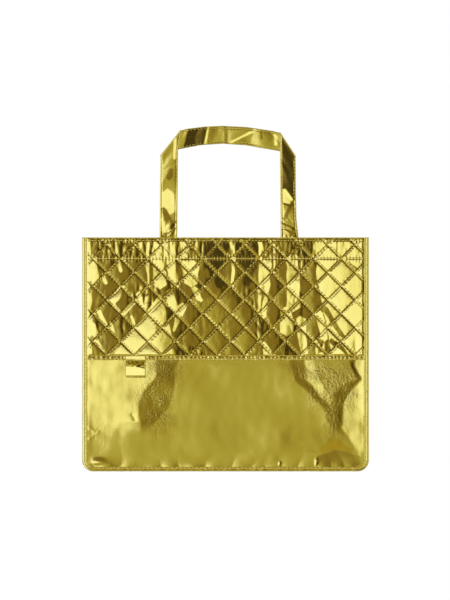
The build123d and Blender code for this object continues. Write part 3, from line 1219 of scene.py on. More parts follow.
@dataclass
class MouthHem:
    """The top edge, rolled over and turned down inside the bag over the ends of the handle."""

    relief: PanelRelief
    foil: bpy.types.Material
    feet: Sequence[tuple[float, float]]
    seed: int = 51
    cut: float = 0.0335

    def build(self) -> None:
        """Builds the hem."""
        side, lay, noise = self.relief.side, self.relief.layout, Noise(self.seed)
        half = lay.half_panel - 0.001
        drop = lay.hem_low - lay.top
        heights = np.array([drop, -0.002, -0.0004, 0.0002, -0.0001, -0.0009, -0.0022]) + lay.top
        outs = np.array([-0.0007, -0.0007, -0.0004, 0.0006, 0.0014, 0.0019, 0.0017]) + lay.wall
        marks = np.array([0.0, 0.62, 0.70, 0.78, 0.86, 0.93, 1.0])

        def place(u: np.ndarray, v: np.ndarray) -> Points:
            """Places from the hem's lower edge inside, over the mouth, to the outside."""
            x = (2 * u - 1) * half
            z, out = np.interp(v, marks, heights), np.interp(v, marks, outs)
            inside = 1 - step(v, 0.55, 0.70)
            for left, right in self.feet:
                strap = step(x, left - 0.002, left + 0.0004) * (1 - step(x, right - 0.0004, right + 0.002))
                out = out - 0.0016 * strap * inside
            out = out + 0.0004 * noise.smooth(x / 0.011, z / 0.02) * inside
            out = out + 0.0002 * (noise.creased(x / 0.006, z / 0.01) - 0.4)
            return stack(x, self.relief.y(out, x, z), z)

        hem = Piece(f"{side.word}_rolled_hem", grid(420, 40, place, -side.outward), [self.foil])
        hem.thicken(0.0004)
        hem.ride(side.word).stands_for(f"{side.word}_mouth_hem")


# ---------------------------------------------------------------- handles


@dataclass
class HandleStrap:
    """A folded strap: two legs, and an arched top turned behind them at both corners."""

    side: Side
    layout: Layout
    foil: bpy.types.Material
    thread: bpy.types.Material
    facets: Sequence[Facet] = ()
    seed: int = 61
    half_thickness: float = 0.00065
    stitch_inset: float = 0.0034
    fold_radius: float = 0.0008
    sway: float = 0.00018
    crumple: float = 0.0003
    width: float = 0.0250
    columns: int = 68
    unsewn: int = 27
    outer: Edge = ((-92.1, 299), (-92.1, 330), (-91.6, 385), (-90.9, 438.7))
    inner: Edge = ((-67.3, 299), (-67.3, 330), (-66.2, 448.7), (-61.6, 475.5))
    lower: Edge = (
        (-90.9, 438.7), (-66.4, 448.7), (-36, 454.6), (-5, 456.8), (28, 454.6), (75.8, 446.2), (97.7, 437.9))
    upper: Edge = (
        (-61.6, 475.5), (-54, 477.6), (-30, 480.6), (-5, 481.8), (30, 480.0), (66, 474.6), (75.1, 472.3))
    right_outer: Edge = ((97.7, 437.9), (98.2, 390), (98.9, 352), (101.4, 330), (101.6, 299))
    right_inner: Edge = ((75.1, 472.3), (75.8, 446.2), (76.2, 390), (76.8, 330), (76.8, 299))

    @property
    def feet(self) -> tuple[tuple[float, float], ...]:
        """Both edges of the left foot and of the right foot."""
        left = (self.outer[0][0] * MM, self.inner[0][0] * MM)
        return left, (self.right_inner[-1][0] * MM, self.right_outer[-1][0] * MM)

    @staticmethod
    def along(points: Edge, t: np.ndarray) -> tuple[np.ndarray, np.ndarray]:
        """Points at shares of the way along an edge, in metres."""
        edge = np.array(points) * MM
        walked = walk(edge)
        return np.interp(t * walked[-1], walked, edge[:, 0]), np.interp(t * walked[-1], walked, edge[:, 1])

    def stations(self) -> tuple[Points, Points]:
        """Both edges of the strap's middle surface at stations from the left foot to the right foot."""
        leg_depth = self.layout.wall - 0.0007
        top_depth = leg_depth - 2 * self.fold_radius
        edges_a, edges_b = [], []

        def put(a: tuple[np.ndarray, np.ndarray], b: tuple[np.ndarray, np.ndarray], depth: object) -> None:
            """Keeps one stretch's two edges."""
            edges_a.append(stack(a[0], depth, a[1]))
            edges_b.append(stack(b[0], depth, b[1]))

        def fold(a: np.ndarray, b: np.ndarray, start: float, way: int) -> None:
            """Turns the strap over the line from a to b, backwards or forwards."""
            turn = np.linspace(0, math.pi, 7)
            off = np.array([-(b - a)[1], (b - a)[0]]) / np.linalg.norm(b - a)
            off = off if off[1] > 0 else -off
            swing = self.fold_radius * np.sin(turn)
            put(
                (a[0] + off[0] * swing, a[1] + off[1] * swing),
                (b[0] + off[0] * swing, b[1] + off[1] * swing),
                start + way * self.fold_radius * (1 - np.cos(turn)),
            )

        leg, arch = np.linspace(0, 1, 120), np.linspace(0, 1, 132)[1:-1]
        put(self.along(self.outer, leg[:-1]), self.along(self.inner, leg[:-1]), leg_depth)
        fold(np.array(self.outer[-1]) * MM, np.array(self.inner[-1]) * MM, leg_depth, -1)
        put(self.along(self.lower, arch), self.along(self.upper, arch), top_depth)
        fold(np.array(self.right_outer[0]) * MM, np.array(self.right_inner[0]) * MM, top_depth, 1)
        put(self.along(self.right_outer, leg[1:]), self.along(self.right_inner, leg[1:]), leg_depth)
        return np.concatenate(edges_a), np.concatenate(edges_b)

    def build(self) -> None:
        """Builds the strap and sews its edges."""
        noise = Noise(self.seed)
        edge_a, edge_b = self.stations()
        count = len(edge_a)
        middle = (edge_a + edge_b) / 2
        walked = walk(middle)
        ahead = np.gradient(middle, axis=0)
        normal = np.cross(ahead, edge_b - edge_a)
        normal /= np.linalg.norm(normal, axis=1)[:, None]
        if normal[0, 1] < 0:
            normal = -normal

        def surface(row: np.ndarray, w: np.ndarray, face: np.ndarray) -> Points:
            """Points of the strap: row is a station, w the share across, face 1 outside and -1 inside."""
            k = np.clip(row, 0, count - 1)
            low = np.floor(k).astype(int)
            high = np.minimum(low + 1, count - 1)
            f = (k - low)[:, None]
            a = edge_a[low] * (1 - f) + edge_a[high] * f
            b = edge_b[low] * (1 - f) + edge_b[high] * f
            n = normal[low] * (1 - f) + normal[high] * f
            s = np.interp(k, np.arange(count), walked)
            width = np.linalg.norm(b - a, axis=1)
            gap = np.minimum(w, 1 - w) * width
            round_off = np.sqrt(np.clip(1 - (1 - np.clip(gap / 0.0012, 0, 1)) ** 2, 0, 1))
            groove = bell(gap, self.stitch_inset, 0.0008)
            bend = step(s, 0.02, 0.03) * (1 - step(s, walked[-1] - 0.03, walked[-1] - 0.02))
            free = np.clip(gap / 0.003, 0, 1)
            flat = a + (b - a) * w[:, None]
            sway = noise.smooth(s / 0.026, w * 0.9) + noise.creased(s / 0.034 + 4, w * 0.7 + 2) - 0.4
            sway = self.sway * sway * bend * (0.35 + 0.65 * free)
            from_mouth = np.abs(np.minimum(s, walked[-1] - s) - 0.033)
            crumple = self.crumple * (noise.creased(s / 0.008, w * 2.4 + 5) - 0.4)
            crumple = crumple * step(from_mouth, 0.03, 0.0)
            half = self.half_thickness * (0.35 + 0.65 * round_off) * (1 - 0.14 * groove)
            forward = np.stack([sway * 0, sway, sway * 0], axis=-1)
            return flat + forward + n * (crumple + face * half * round_off)[:, None]

        def place(u: np.ndarray, v: np.ndarray) -> Points:
            """Places round the strap: out across one face and back across the other."""
            w = 1 - np.abs(2 * v - 1)
            face = np.where(v <= 0.5, 1.0, -1.0)
            return surface(u * (count - 1), w, face) * np.array([1.0, self.side.value, 1.0])

        shape = close(grid(count - 1, self.columns, place), gap=2e-6)
        strap = Piece(f"{self.side.word}_strap", shape, [self.foil]).note("tilt", self.tilt)
        self.join(strap)
        strap.stands_for(f"{self.side.word}_handle", f"{self.side.word}_handle_tails")

        seam = Seam(pitch=0.0048, length=0.0032, width=0.0008, height=0.0006)
        width = np.linalg.norm(edge_b - edge_a, axis=1)
        for from_a in (True, False):
            for face in (1.0, -1.0):

                def row(t: np.ndarray, near_a: bool = from_a, way: float = face) -> Points:
                    """Places along one edge's stitches on one face."""
                    at = self.unsewn + t * (count - 1 - 2 * self.unsewn)
                    share = self.stitch_inset / np.interp(at, np.arange(count), width)
                    w = share if near_a else 1 - share
                    return surface(at, w, np.full_like(t, way)) * np.array([1.0, self.side.value, 1.0])

                seam.run(row, self.side.outward)
        stitches = seam.made_of(self.thread, f"{self.side.word}_strap_stitches")
        self.join(stitches)
        stitches.stands_for(f"{self.side.word}_handle_thread", slot="gold_thread")

    def tilt(self, points: Points) -> Points:
        """How each point's facet leans, as a vector to add to its outward direction."""
        right, up, _ = leaning(self.facets, points[:, 0], points[:, 2], Tone.OLIVE)
        return stack(-right, 0.0, -up)

    def join(self, piece: Piece) -> None:
        """Bakes a piece of the strap into its mesh."""
        top, y = self.layout.top, self.side.value * self.layout.wall
        piece.blend(self.side.word, f"{self.side.word}_handle", (0, y, top - 0.0005), (0, y, top + 0.0075))


# ---------------------------------------------------------------- label tab


@dataclass
class LabelTab:
    """A short loop of strip, sewn over the seam and free below it, with nothing written on it."""

    relief: PanelRelief
    foil: bpy.types.Material
    thread: bpy.types.Material
    seed: int = 71
    cut: float = 0.0570

    def build(self) -> None:
        """Builds the loop and its stitches."""
        lay, noise = self.relief.layout, Noise(self.seed)
        low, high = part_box("label_tab")
        left, right = low.x, high.x
        centre = (left + right) / 2
        profile = np.array([
            (0.1617, 0.0646), (0.1610, 0.0653), (0.1570, 0.0652), (0.1552, 0.0651), (0.1536, 0.0645),
            (0.1490, 0.0641), (0.1400, 0.0640), (0.1330, 0.0639), (0.1312, 0.0630), (0.1314, 0.0618),
            (0.1340, 0.0615), (0.1440, 0.0614), (0.1546, 0.0613)])
        knots = np.arange(len(profile))

        def place(u: np.ndarray, v: np.ndarray) -> Points:
            """Places down the loop's front, round its lower fold and up behind."""
            at = v * knots[-1]
            z, out = np.interp(at, knots, profile[:, 0]), np.interp(at, knots, profile[:, 1])
            x = left + (right - left) * u
            front = 1 - step(v, 0.62, 0.72)
            turn = 0.1465 - 0.10 * (x - centre)
            high = step(z, turn, turn + 0.0015) * (1 - step(z, 0.1535, 0.1560))
            lean = (Tone.BRIGHT.value[0] + 0.04) * (1 - high) + Tone.DARK.value[0] * high
            out = out + front * lean * (x - centre) * (0.5 + 0.5 * (1 - step(z, 0.1545, 0.1560)))
            out = out + 0.00016 * front * high * (noise.creased(x / 0.006, z / 0.005) - 0.4)
            x = x + 0.0013 * (1 - front)
            z = z - 0.0006 * (1 - front)
            return stack(x, self.relief.y(out, np.full_like(x, centre), z), z)

        loop = Piece("label_loop", grid(36, 72, place, Side.FRONT.outward), [self.foil])
        loop.thicken(0.0004, offset=0.0)
        loop.blend("front", "label_tab", (centre, -0.064, 0.1562), (centre, -0.064, 0.1532))
        loop.stands_for("label_tab", "label_tab_anchor")

        def row(t: np.ndarray) -> Points:
            """Places along the row that sews the loop down."""
            x = left + 0.0015 + (right - left - 0.003) * t
            z = np.full_like(x, lay.band_row + 0.0003)
            return stack(x, self.relief.y(0.0651, x, z), z)

        seam = Seam(pitch=0.0042, length=0.003, width=0.0009, height=0.0007).run(row, Side.FRONT.outward)
        stitches = seam.made_of(self.thread, "label_stitches")
        stitches.ride("front").stands_for("label_tab_thread", slot="gold_thread")


# ---------------------------------------------------------------- gusset


@dataclass
class Gusset:
    """The strip round the bag's sides and bottom, in three stretches from front to back, with a crease down
    its middle.
    """

    layout: Layout
    foil: bpy.types.Material
    lining: bpy.types.Material
    seed: int = 81
    reach: float = 0.0590
    split: float = 0.0300
    thickness: float = 0.0005
    hem: float = 0.029
    mitre: float = 0.016
    side_length: float = 0.31
    bottom_length: float = 0.29
    corner_length: float = 0.135
    corner_mean: float = 0.085

    def dent(self, walked: np.ndarray, depth: np.ndarray) -> np.ndarray:
        """How far the cloth stands in from flat, by its place along the strip and from front to back."""
        noise = Noise(self.seed)
        crease = 0.0016 * np.exp(-np.abs(depth) / 0.006)
        soft = 0.0007 * (noise.smooth(walked / 0.075, depth / 0.040) + 0.4)
        crushed = 0.00018 * (noise.creased(walked / 0.034, depth / 0.020 + 5) - 0.4)
        held = step(self.reach + 0.001 - np.abs(depth), 0.0, 0.012)
        pressed = 1 - bell(np.abs(depth), self.split, 0.004)
        return (crease + (soft + crushed) * pressed) * held

    def side_stretch(self, hand: Hand, name: str, start: float, end: float) -> Piece:
        """One upright stretch of a side gusset, between two depths, hemmed at the mouth."""
        top = self.layout.top - 0.0006
        x_out = self.layout.half_panel

        def place(u: np.ndarray, v: np.ndarray) -> Points:
            """Places up the outside, over the mouth and down the hem inside."""
            y = start + (end - start) * u
            foot = self.mitre + self.reach - np.abs(y)
            length = top - foot + self.hem
            s = v * length
            up = np.minimum(s, top - foot)
            z = foot + up
            over = s - (top - foot)
            z = np.where(over > 0, top - over, z)
            inward = self.dent(z, y) + 0.0008 * step(over, -0.0004, 0.0008)
            return stack(hand.value * (x_out - inward), y, z)

        shape = grid(max(8, int(abs(end - start) / 0.0022)), 190, place, Vector((hand.value, 0, 0)))
        return Piece(name, shape, [self.foil, self.lining]).thicken(self.thickness, lining=1)

    def bottom_stretch(self, name: str, start: float, end: float) -> Piece:
        """One level stretch of the bottom gusset, between two depths, mitred at its ends."""
        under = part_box("bottom_gusset_front_half")[0].z
        long_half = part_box("bottom_gusset_front_half")[1].x

        def place(u: np.ndarray, v: np.ndarray) -> Points:
            """Places along the bottom."""
            y = start + (end - start) * u
            half = long_half - (self.reach - np.abs(y))
            x = (2 * v - 1) * half
            return stack(x, y, under + self.dent(x + 0.7, y))

        shape = grid(max(8, int(abs(end - start) / 0.0025)), 150, place, Vector((0, 0, -1)))
        return Piece(name, shape, [self.foil, self.lining]).thicken(self.thickness, lining=1)

    def corner(self, hand: Hand) -> Piece:
        """The soft corner between the two mitres."""
        lay = self.layout
        x_out, under = lay.half_panel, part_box("bottom_gusset_front_half")[0].z
        radius = lay.corner - (lay.half_width - lay.half_panel)
        bend = radius * math.pi / 2

        def place(u: np.ndarray, v: np.ndarray) -> Points:
            """Places down the side, round the corner and in along the bottom."""
            y = (2 * u - 1) * (self.reach + 0.0010)
            rise = np.maximum(self.reach - np.abs(y), 0.0)
            side_run = rise + self.mitre - (under + radius)
            bottom_run = rise + (x_out - radius) - (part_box("bottom_gusset_front_half")[1].x)
            s = v * (side_run + bend + bottom_run)
            turn = np.clip(s - side_run, 0, bend) / radius
            inward = self.dent(s + 0.3, y) * 0.8
            x = x_out - radius + (radius - inward) * np.cos(turn) - np.clip(s - side_run - bend, 0, None)
            z = under + radius - (radius - inward) * np.sin(turn) + np.clip(side_run - s, 0, None)
            return stack(hand.value * x, y, z)

        shape = grid(56, 64, place, Vector((hand.value, 0, -1)))
        piece = Piece(f"{hand.word}_soft_corner", shape, [self.foil, self.lining])
        return piece.thicken(self.thickness, lining=1)

    def build(self) -> None:
        """Builds the two sides, the bottom and the two corners."""
        for hand in Hand:
            x = hand.value * self.layout.half_panel
            stretch = partial(self.side_stretch, hand)
            self.stretches(f"{hand.word}_gusset", stretch, x, hand is Hand.LEFT)
            corner = self.corner(hand)
            corner.ride("front").stands_for(f"{hand.word}_corner_gusset")
            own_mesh(corner.object, "gusset_fold", axis=(0, 1, 0), anchor=(0, -self.reach, 0), keep=0.12)
            width = 2 * self.reach
            area = width * self.corner_mean
        self.stretches("bottom_gusset", self.bottom_stretch, 0.0, False)

    def stretches(
        self, word: str, stretch: Callable[..., Piece], x: float, held: bool
    ) -> None:
        """Builds one side's or the bottom's three stretches, from front to back.

        Args:
            word: The name of the side's gusset or the bottom's.
            stretch: Builds one stretch from its name and the depths of its two edges.
            x: Where the folds are, across; not used.
            held: Whether the last stretch is baked in place instead of riding with its own body.
        """
        edge, cut = self.reach + 0.0012, self.split
        front = stretch(f"{word}_front", -edge, -cut)
        front.blend("front", f"{word}_front", (x, -self.reach - 0.0006, 0), (x, -self.reach + 0.0016, 0))
        front.stands_for(f"{word}_front_half")
        middle = stretch(f"{word}_middle", -cut, cut)
        middle.blend(f"{word}_front", f"{word}_rear", (x, -0.0016, 0), (x, 0.0016, 0))
        middle.stands_for(f"{word}_rear_half")
        rear = stretch(f"{word}_rear", cut, edge)
        if held:
            rear.blend(f"{word}_rear", "back", (x, self.reach - 0.0016, 0), (x, self.reach + 0.0006, 0))
        else:
            rear.ride(f"{word}_rear")
        rear.stands_for()
        for piece, depth in ((front, edge - cut), (middle, 2 * cut), (rear, edge - cut)):
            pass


# ---------------------------------------------------------------- studio


@dataclass
class Studio:
    """Floor, light and camera."""

    floor_radius: float = 1.6
    camera_height: float = 0.2389
    camera_x: float = -0.0008
    view_height: float = 0.8364
    camera_distance: float = 4.0
    lamp_size: float = 1.6
    lamps: Sequence[tuple[str, tuple[float, float, float], float]] = (
        ("key", (-1.2, -2.0, 2.2), 60.0),
        ("fill", (1.6, -1.4, 1.6), 40.0),
        ("back", (0.0, 2.2, 2.4), 45.0),
    )

    def build(self) -> None:
        """Builds the studio."""
        shape = bmesh.new()
        bmesh.ops.create_circle(shape, cap_ends=True, segments=96, radius=self.floor_radius)
        floor = Piece("floor", shape, [FloorFinish().make()])
        floor.object.visible_glossy = False
        self.surroundings()
        for name, place, power in self.lamps:
            self.lamp(name, place, power)
        camera = bpy.data.objects.new("camera", bpy.data.cameras.new("camera"))
        camera.data.type = "ORTHO"
        camera.data.ortho_scale = self.view_height
        camera.data.clip_end = 50.0
        camera.location = (self.camera_x, -self.camera_distance, self.camera_height)
        camera.rotation_euler = (math.pi / 2, 0.0, 0.0)
        bpy.context.scene.collection.objects.link(camera)
        bpy.context.scene.camera = camera
        bpy.context.scene.view_settings.view_transform = "Standard"

    def lamp(self, name: str, place: Sequence[float], power: float) -> None:
        """Hangs a soft lamp that lights cloth and floor but isn't mirrored in the film."""
        light = bpy.data.lights.new(name, "AREA")
        light.shape = "DISK"
        light.size = self.lamp_size
        light.energy = power
        lamp = bpy.data.objects.new(name, light)
        lamp.location = place
        lamp.rotation_mode = "QUATERNION"
        lamp.rotation_quaternion = (Vector((0, 0, 0.2)) - Vector(place)).to_track_quat("-Z", "Y")
        lamp.visible_glossy = False
        bpy.context.scene.collection.objects.link(lamp)

    def surroundings(self) -> None:
        """White to the eye; mirrored in the film, a dim room with bright soft boxes between its corners."""
        world = bpy.data.worlds.new("studio")
        bpy.context.scene.world = world
        world.use_nodes = True
        bench = Bench(world.node_tree)
        way = bench.add("ShaderNodeTexCoord", {}, {}, output="Generated")
        split = bench.node("ShaderNodeSeparateXYZ", {}, {"Vector": way})
        x, y, z = (Signal(bench, split.outputs[k]) for k in range(3))
        turned = x.maths("ARCTAN2", y) * (2 / math.pi) + 0.5
        aside = turned.maths("FRACT") * 90.0 - 45.0
        height = z.maths("ARCSINE") * (180 / math.pi)
        wide = 1 - aside.size().ramp(17.0, 22.0)
        belt = (1 - height.ramp(2.5, 5.0)) * height.ramp(-8.0, -5.0)
        tall = (1 - height.ramp(32.0, 40.0)) * height.ramp(-40.0, -32.0)
        above = height.ramp(2.5, 5.0) * (1 - height.ramp(26.0, 32.0)) * wide
        below = (1 - height.ramp(-8.0, -5.0)) * height.ramp(-32.0, -26.0) * wide
        softbox = aside.ramp(1.5, 2.6) * (1 - aside.ramp(40.0, 43.0)) * tall
        middle = (1 - aside.ramp(1.5, 2.6)) * aside.ramp(-2.8, -1.8) * belt
        doorway = (1 - aside.ramp(-2.8, -1.8)) * aside.ramp(-17.0, -15.0) * tall
        beyond = doorway * (1 - aside.ramp(-9.0, -8.0)) * (1 - height.ramp(12.0, 16.0))
        shelf = above * height.ramp(12.0, 14.0) * (1 - aside.ramp(9.0, 13.0)) * aside.ramp(-13.0, -9.0)
        amber = below * (1 - height.ramp(-16.0, -13.0))
        colour = bench.mix(height.ramp(-60.0, 60.0), rgba((0.40, 0.36, 0.22)), rgba((0.62, 0.58, 0.42)))
        for part, tint in (
            (softbox, (1.18, 1.17, 1.30)),
            (softbox * aside.ramp(3.0, 7.0), (1.22, 1.27, 1.80)),
            (middle, (0.46, 0.42, 0.16)),
            (above, (0.24, 0.17, 0.055)),
            (below, (0.44, 0.38, 0.13)),
            (amber, (0.50, 0.36, 0.07)),
            (doorway, (0.25, 0.18, 0.06)),
            (beyond, (0.045, 0.032, 0.012)),
            (shelf, (0.035, 0.026, 0.012)),
        ):
            colour = bench.mix(part, colour, rgba(tint))
        mirrored = bench.add("ShaderNodeBackground", {}, {"Color": colour, "Strength": 1.0})
        white = bench.add("ShaderNodeBackground", {}, {"Color": rgba((1, 1, 1)), "Strength": 1.0})
        seen = bench.add("ShaderNodeLightPath", {}, {}, output="Is Camera Ray")
        shader = bench.add("ShaderNodeMixShader", {}, {0: seen, 1: mirrored, 2: white})
        bench.node("ShaderNodeOutputWorld", {}, {"Surface": shader})


# ---------------------------------------------------------------- the bag


FRONT_BENDS = (
    Facet((-70.5, 464), (-70.5, 436), (4, 5), Tone.BRIGHT, 1.5),
    Facet((-76, 421), (-79, 409), (6, 9), Tone.DARK, 3),
    Facet((-81, 389), (-80, 362), (16, 24), Tone.BRIGHT, 4),
    Facet((-87, 366), (-73, 338), (9, 9), Tone.DARK, 2),
    Facet((-90, 352), (-84, 335), (4, 14), Tone.BRIGHT, 2),
    Facet((88, 486), (90, 372), (20, 22), Tone.DEEP, 1.5, point=0.3),
    Facet((82, 393), (89, 374), (5, 18), Tone.BRIGHT, 1.5, point=0.3),
    Facet((94, 377), (82, 352), (4, 6), Tone.DARK, 2),
    Facet((-38, 482), (-44, 450), (26, 30), Tone.DEEP, 1.5, point=0.2),
    Facet((-24, 481), (-29, 453), (3, 4), Tone.BRIGHT, 1.5),
    Facet((0, 483), (1, 455), (4, 5), Tone.DARK, 2),
    Facet((40, 475), (8, 459), (9, 6), Tone.BRIGHT, 2),
    Facet((49, 474), (50, 464), (3, 3), Tone.DARK, 2),
    Facet((69, 468), (70, 456), (4, 5), Tone.BRIGHT, 3),
)
BACK_BENDS = (
    Facet((-80, 440), (-81, 400), (22, 25), Tone.DARK, 3),
    Facet((-82, 372), (-78, 344), (12, 22), Tone.BRIGHT, 3),
    Facet((88, 448), (88, 410), (14, 22), Tone.BRIGHT, 3),
    Facet((88, 396), (90, 360), (22, 16), Tone.DARK, 3),
    Facet((-20, 481), (-26, 454), (20, 24), Tone.BRIGHT, 2),
    Facet((30, 480), (34, 452), (20, 24), Tone.DEEP, 2),
)


@dataclass
class GiftBag:
    """The whole bag."""

    layout: Layout = field(default_factory=Layout)

    def build(self) -> None:
        """Builds every piece."""
        quilt_foil = FoilFinish("quilt_foil").make()
        plain_foil = FoilFinish("plain_foil", crush_depth=0.00002).make()
        strap_foil = FoilFinish("strap_foil", patch_scale=40.0).make()
        trim_foil = FoilFinish("trim_foil", crush_scale=420.0).make()
        lining = NonWovenFinish("white_non_woven").make()
        thread = ThreadFinish("gold_thread").make()
        tab_low, tab_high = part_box("label_tab")
        for side in Side:
            front = side is Side.FRONT
            relief = self.front_relief() if front else self.back_relief()
            shift = 0 if front else 100
            QuiltedPanel(relief, quilt_foil, lining, thread, seed=11 + shift).build()
            PlainPanel(relief, plain_foil, lining, seed=21 + shift).build()
            skip = (tab_low.x, tab_high.x) if front else None
            SeamBand(relief, trim_foil, thread, skip=skip, seed=31 + shift).build()
            EdgeBinding(side, self.layout, trim_foil, thread, seed=41 + shift).build()
            bends = FRONT_BENDS if front else BACK_BENDS
            strap = HandleStrap(side, self.layout, strap_foil, thread, bends, seed=61 + shift)
            MouthHem(relief, trim_foil, strap.feet, seed=51 + shift).build()
            strap.build()
            if front:
                LabelTab(relief, strap_foil, thread).build()
        Gusset(self.layout, plain_foil, lining).build()

    def front_relief(self) -> PanelRelief:
        """The front's ridge lines, facets, swells and creases."""
        edge = self.layout.half_panel / MM
        lines = (
            RidgeLine(((0, -edge, 0), (400, -edge, 0))),
            RidgeLine(((6, -125, 0), (25, -125, 0.4), (48, -120, 0.7), (62, -119, 1.3), (70, -119, 1.8),
                       (95, -121, 1.95), (110, -116, 2.0), (123, -104, 2.3), (131, -98, 2.5),
                       (165, -97, 2.4), (200, -97, 1.6), (260, -97, 0.9), (326, -97, 0.4))),
            RidgeLine(((6, -90, 0), (25, -90, 0.4), (48, -90, 0.7), (62, -105, 1.0), (70, -97, 0.8),
                       (80, -88, 0.6), (95, -76, 0.6), (110, -74, 0.7), (131, -70, 1.1), (145, -70, 1.2),
                       (165, -62, 1.2), (200, -62, 0.9), (326, -62, 0.3))),
            RidgeLine(((6, -10, 0), (25, -10, 0.4), (48, -10, 0.55), (95, -10, 0.6), (145, -10, 1.1),
                       (165, -10, 1.0), (326, -10, 0.3))),
            RidgeLine(((6, 75, 0), (25, 75, 0.4), (48, 75, 0.6), (95, 75, 0.65), (145, 75, 0.95),
                       (165, 75, 0.9), (326, 75, 0.3))),
            RidgeLine(((6, 126, 0), (25, 130, 0.3), (40, 140, -0.1), (48, 146, -0.25), (60, 147, -0.1),
                       (70, 144, 0.3), (91, 135, 0.6), (110, 116, 0.7), (128, 97, 0.8), (145, 92, 0.8),
                       (165, 84, 0.7), (326, 90, 0.3))),
            RidgeLine(((6, 150, 0), (25, 150, 0.2), (40, 152, -0.2), (48, 156, -0.38), (60, 152, -0.25),
                       (70, 151, -0.05), (91, 145, 0.1), (110, 128, 0.15), (128, 112, 0.1),
                       (145, 112, 0.0), (165, 108, 0.1), (326, 108, 0.2))),
            RidgeLine(((6, 165, 0), (25, 165, 0.1), (40, 160, -0.3), (48, 162, -0.45), (60, 155, -0.35),
                       (70, 155, -0.22), (80, 151, -0.1), (95, 147, 0.1), (107, 145, 0.6),
                       (110, 141, 0.65), (128, 130, 0.75), (145, 125, 0.5), (165, 122, 0.5),
                       (326, 122, 0.2))),
            RidgeLine(((6, 180, 0), (25, 180, 0.0), (40, 170, -0.35), (48, 167, -0.5), (60, 158, -0.5),
                       (70, 158, -0.45), (80, 155, -0.3), (95, 152, -0.1), (107, 149, 0.6),
                       (121, 164, 0.55), (128, 184, 0.3), (145, 176, 0.1), (165, 172, 0.2), (326, 160, 0.1))),
            RidgeLine(((6, 185, 0), (25, 185, 0.0), (40, 175, -0.42), (48, 170, -0.56), (60, 162, -0.68),
                       (70, 163, -0.78), (80, 163, -0.82), (95, 165, -0.8), (107, 170, -0.6),
                       (121, 182, -0.3), (128, 189, -0.1), (145, 180, -0.4), (165, 182, -0.3),
                       (200, 182, 0.0), (326, 180, 0.0))),
            RidgeLine(((0, edge, 0), (400, edge, 0))),
        )
        facets = (
            Facet((-10, 240), (8, 160), (46, 80), Tone.DULL, 9, calm=0.5),
            Facet((-15, 330), (-14, 282), (38, 30), Tone.DEEP, 3, calm=0.9),
            Facet((30, 328), (30, 280), (36, 28), Tone.DEEP, 3, calm=0.9),
            Facet((112, 326), (113, 301), (18, 14), Tone.DEEP, 2, calm=0.9),
            Facet((-191, 335), (-190, 150), (6, 5)),
            Facet((-187, 299), (-184, 266), (12, 18), point=1.0),
            Facet((-189, 220), (-182, 190), (8, 12), point=1.0),
            Facet((-148, 298), (-147, 279), (3, 6), point=1.0),
            Facet((-171, 275), (-167, 262), (3, 5), point=1.0),
            Facet((-146, 257), (-156, 236), (6, 12), point=1.0),
            Facet((-160, 239), (-148, 223), (5, 5)),
            Facet((-127, 235), (-143, 219), (6, 9)),
            Facet((-121, 248), (-112, 224), (9, 3), point=1.0),
            Facet((-178, 226), (-168, 204), (8, 5), point=1.0),
            Facet((-160, 207), (-157, 194), (6, 4), point=1.0),
            Facet((-131, 216), (-127, 204), (4, 5), point=1.0),
            Facet((-181, 184), (-169, 167), (6, 4)),
            Facet((-12, 288), (-8, 262), (24, 14), Tone.DEEP, 9, calm=0.9),
            Facet((33, 284), (30, 262), (22, 12), Tone.DEEP, 9, calm=0.9),
            Facet((-110, 324), (-107, 262), (7, 3), soft=1.5),
            Facet((-96, 324), (-91, 258), (10, 20)),
            Facet((-80, 324), (-71, 256), (16, 10)),
            Facet((-78, 252), (-72, 224), (10, 16)),
            Facet((-92, 244), (-120, 136), (6, 112), calm=0.5),
            Facet((-59, 324), (-57, 298), (8, 10), soft=1.5),
            Facet((-50, 292), (-48, 260), (28, 18)),
            Facet((-44, 256), (-34, 238), (10, 8), soft=1.5),
            Facet((-60, 232), (-72, 196), (14, 6)),
            Facet((10, 323), (10, 256), (6, 4), soft=1.5),
            Facet((49, 323), (50, 296), (7, 6), soft=1.5),
            Facet((55, 292), (52, 214), (18, 10)),
            Facet((67, 318), (68, 282), (4, 3), soft=1.2),
            Facet((94, 300), (95, 226), (18, 20)),
            Facet((84, 226), (86, 192), (16, 18)),
            Facet((104, 214), (109, 162), (14, 10)),
            Facet((159, 345), (160, 250), (68, 66), calm=0.8),
            Facet((160, 272), (172, 140), (66, 40), calm=0.8),
            Facet((130, 222), (138, 184), (12, 10)),
            Facet((138, 228), (162, 188), (9, 8), Tone.DULL, 1.5),
            Facet((148, 182), (170, 162), (13, 4), Tone.DARK, 1.5, point=1.0),
            Facet((155.5, 322), (155.5, 301), (2, 2), Tone.DARK, 0.6),
            Facet((171, 293), (183, 281), (3, 3), Tone.DULL, 1.0),
            Facet((54, 180), (60, 160), (2, 16), soft=1.5),
            Facet((126, 182), (133, 160), (2, 14), soft=1.5),
        )
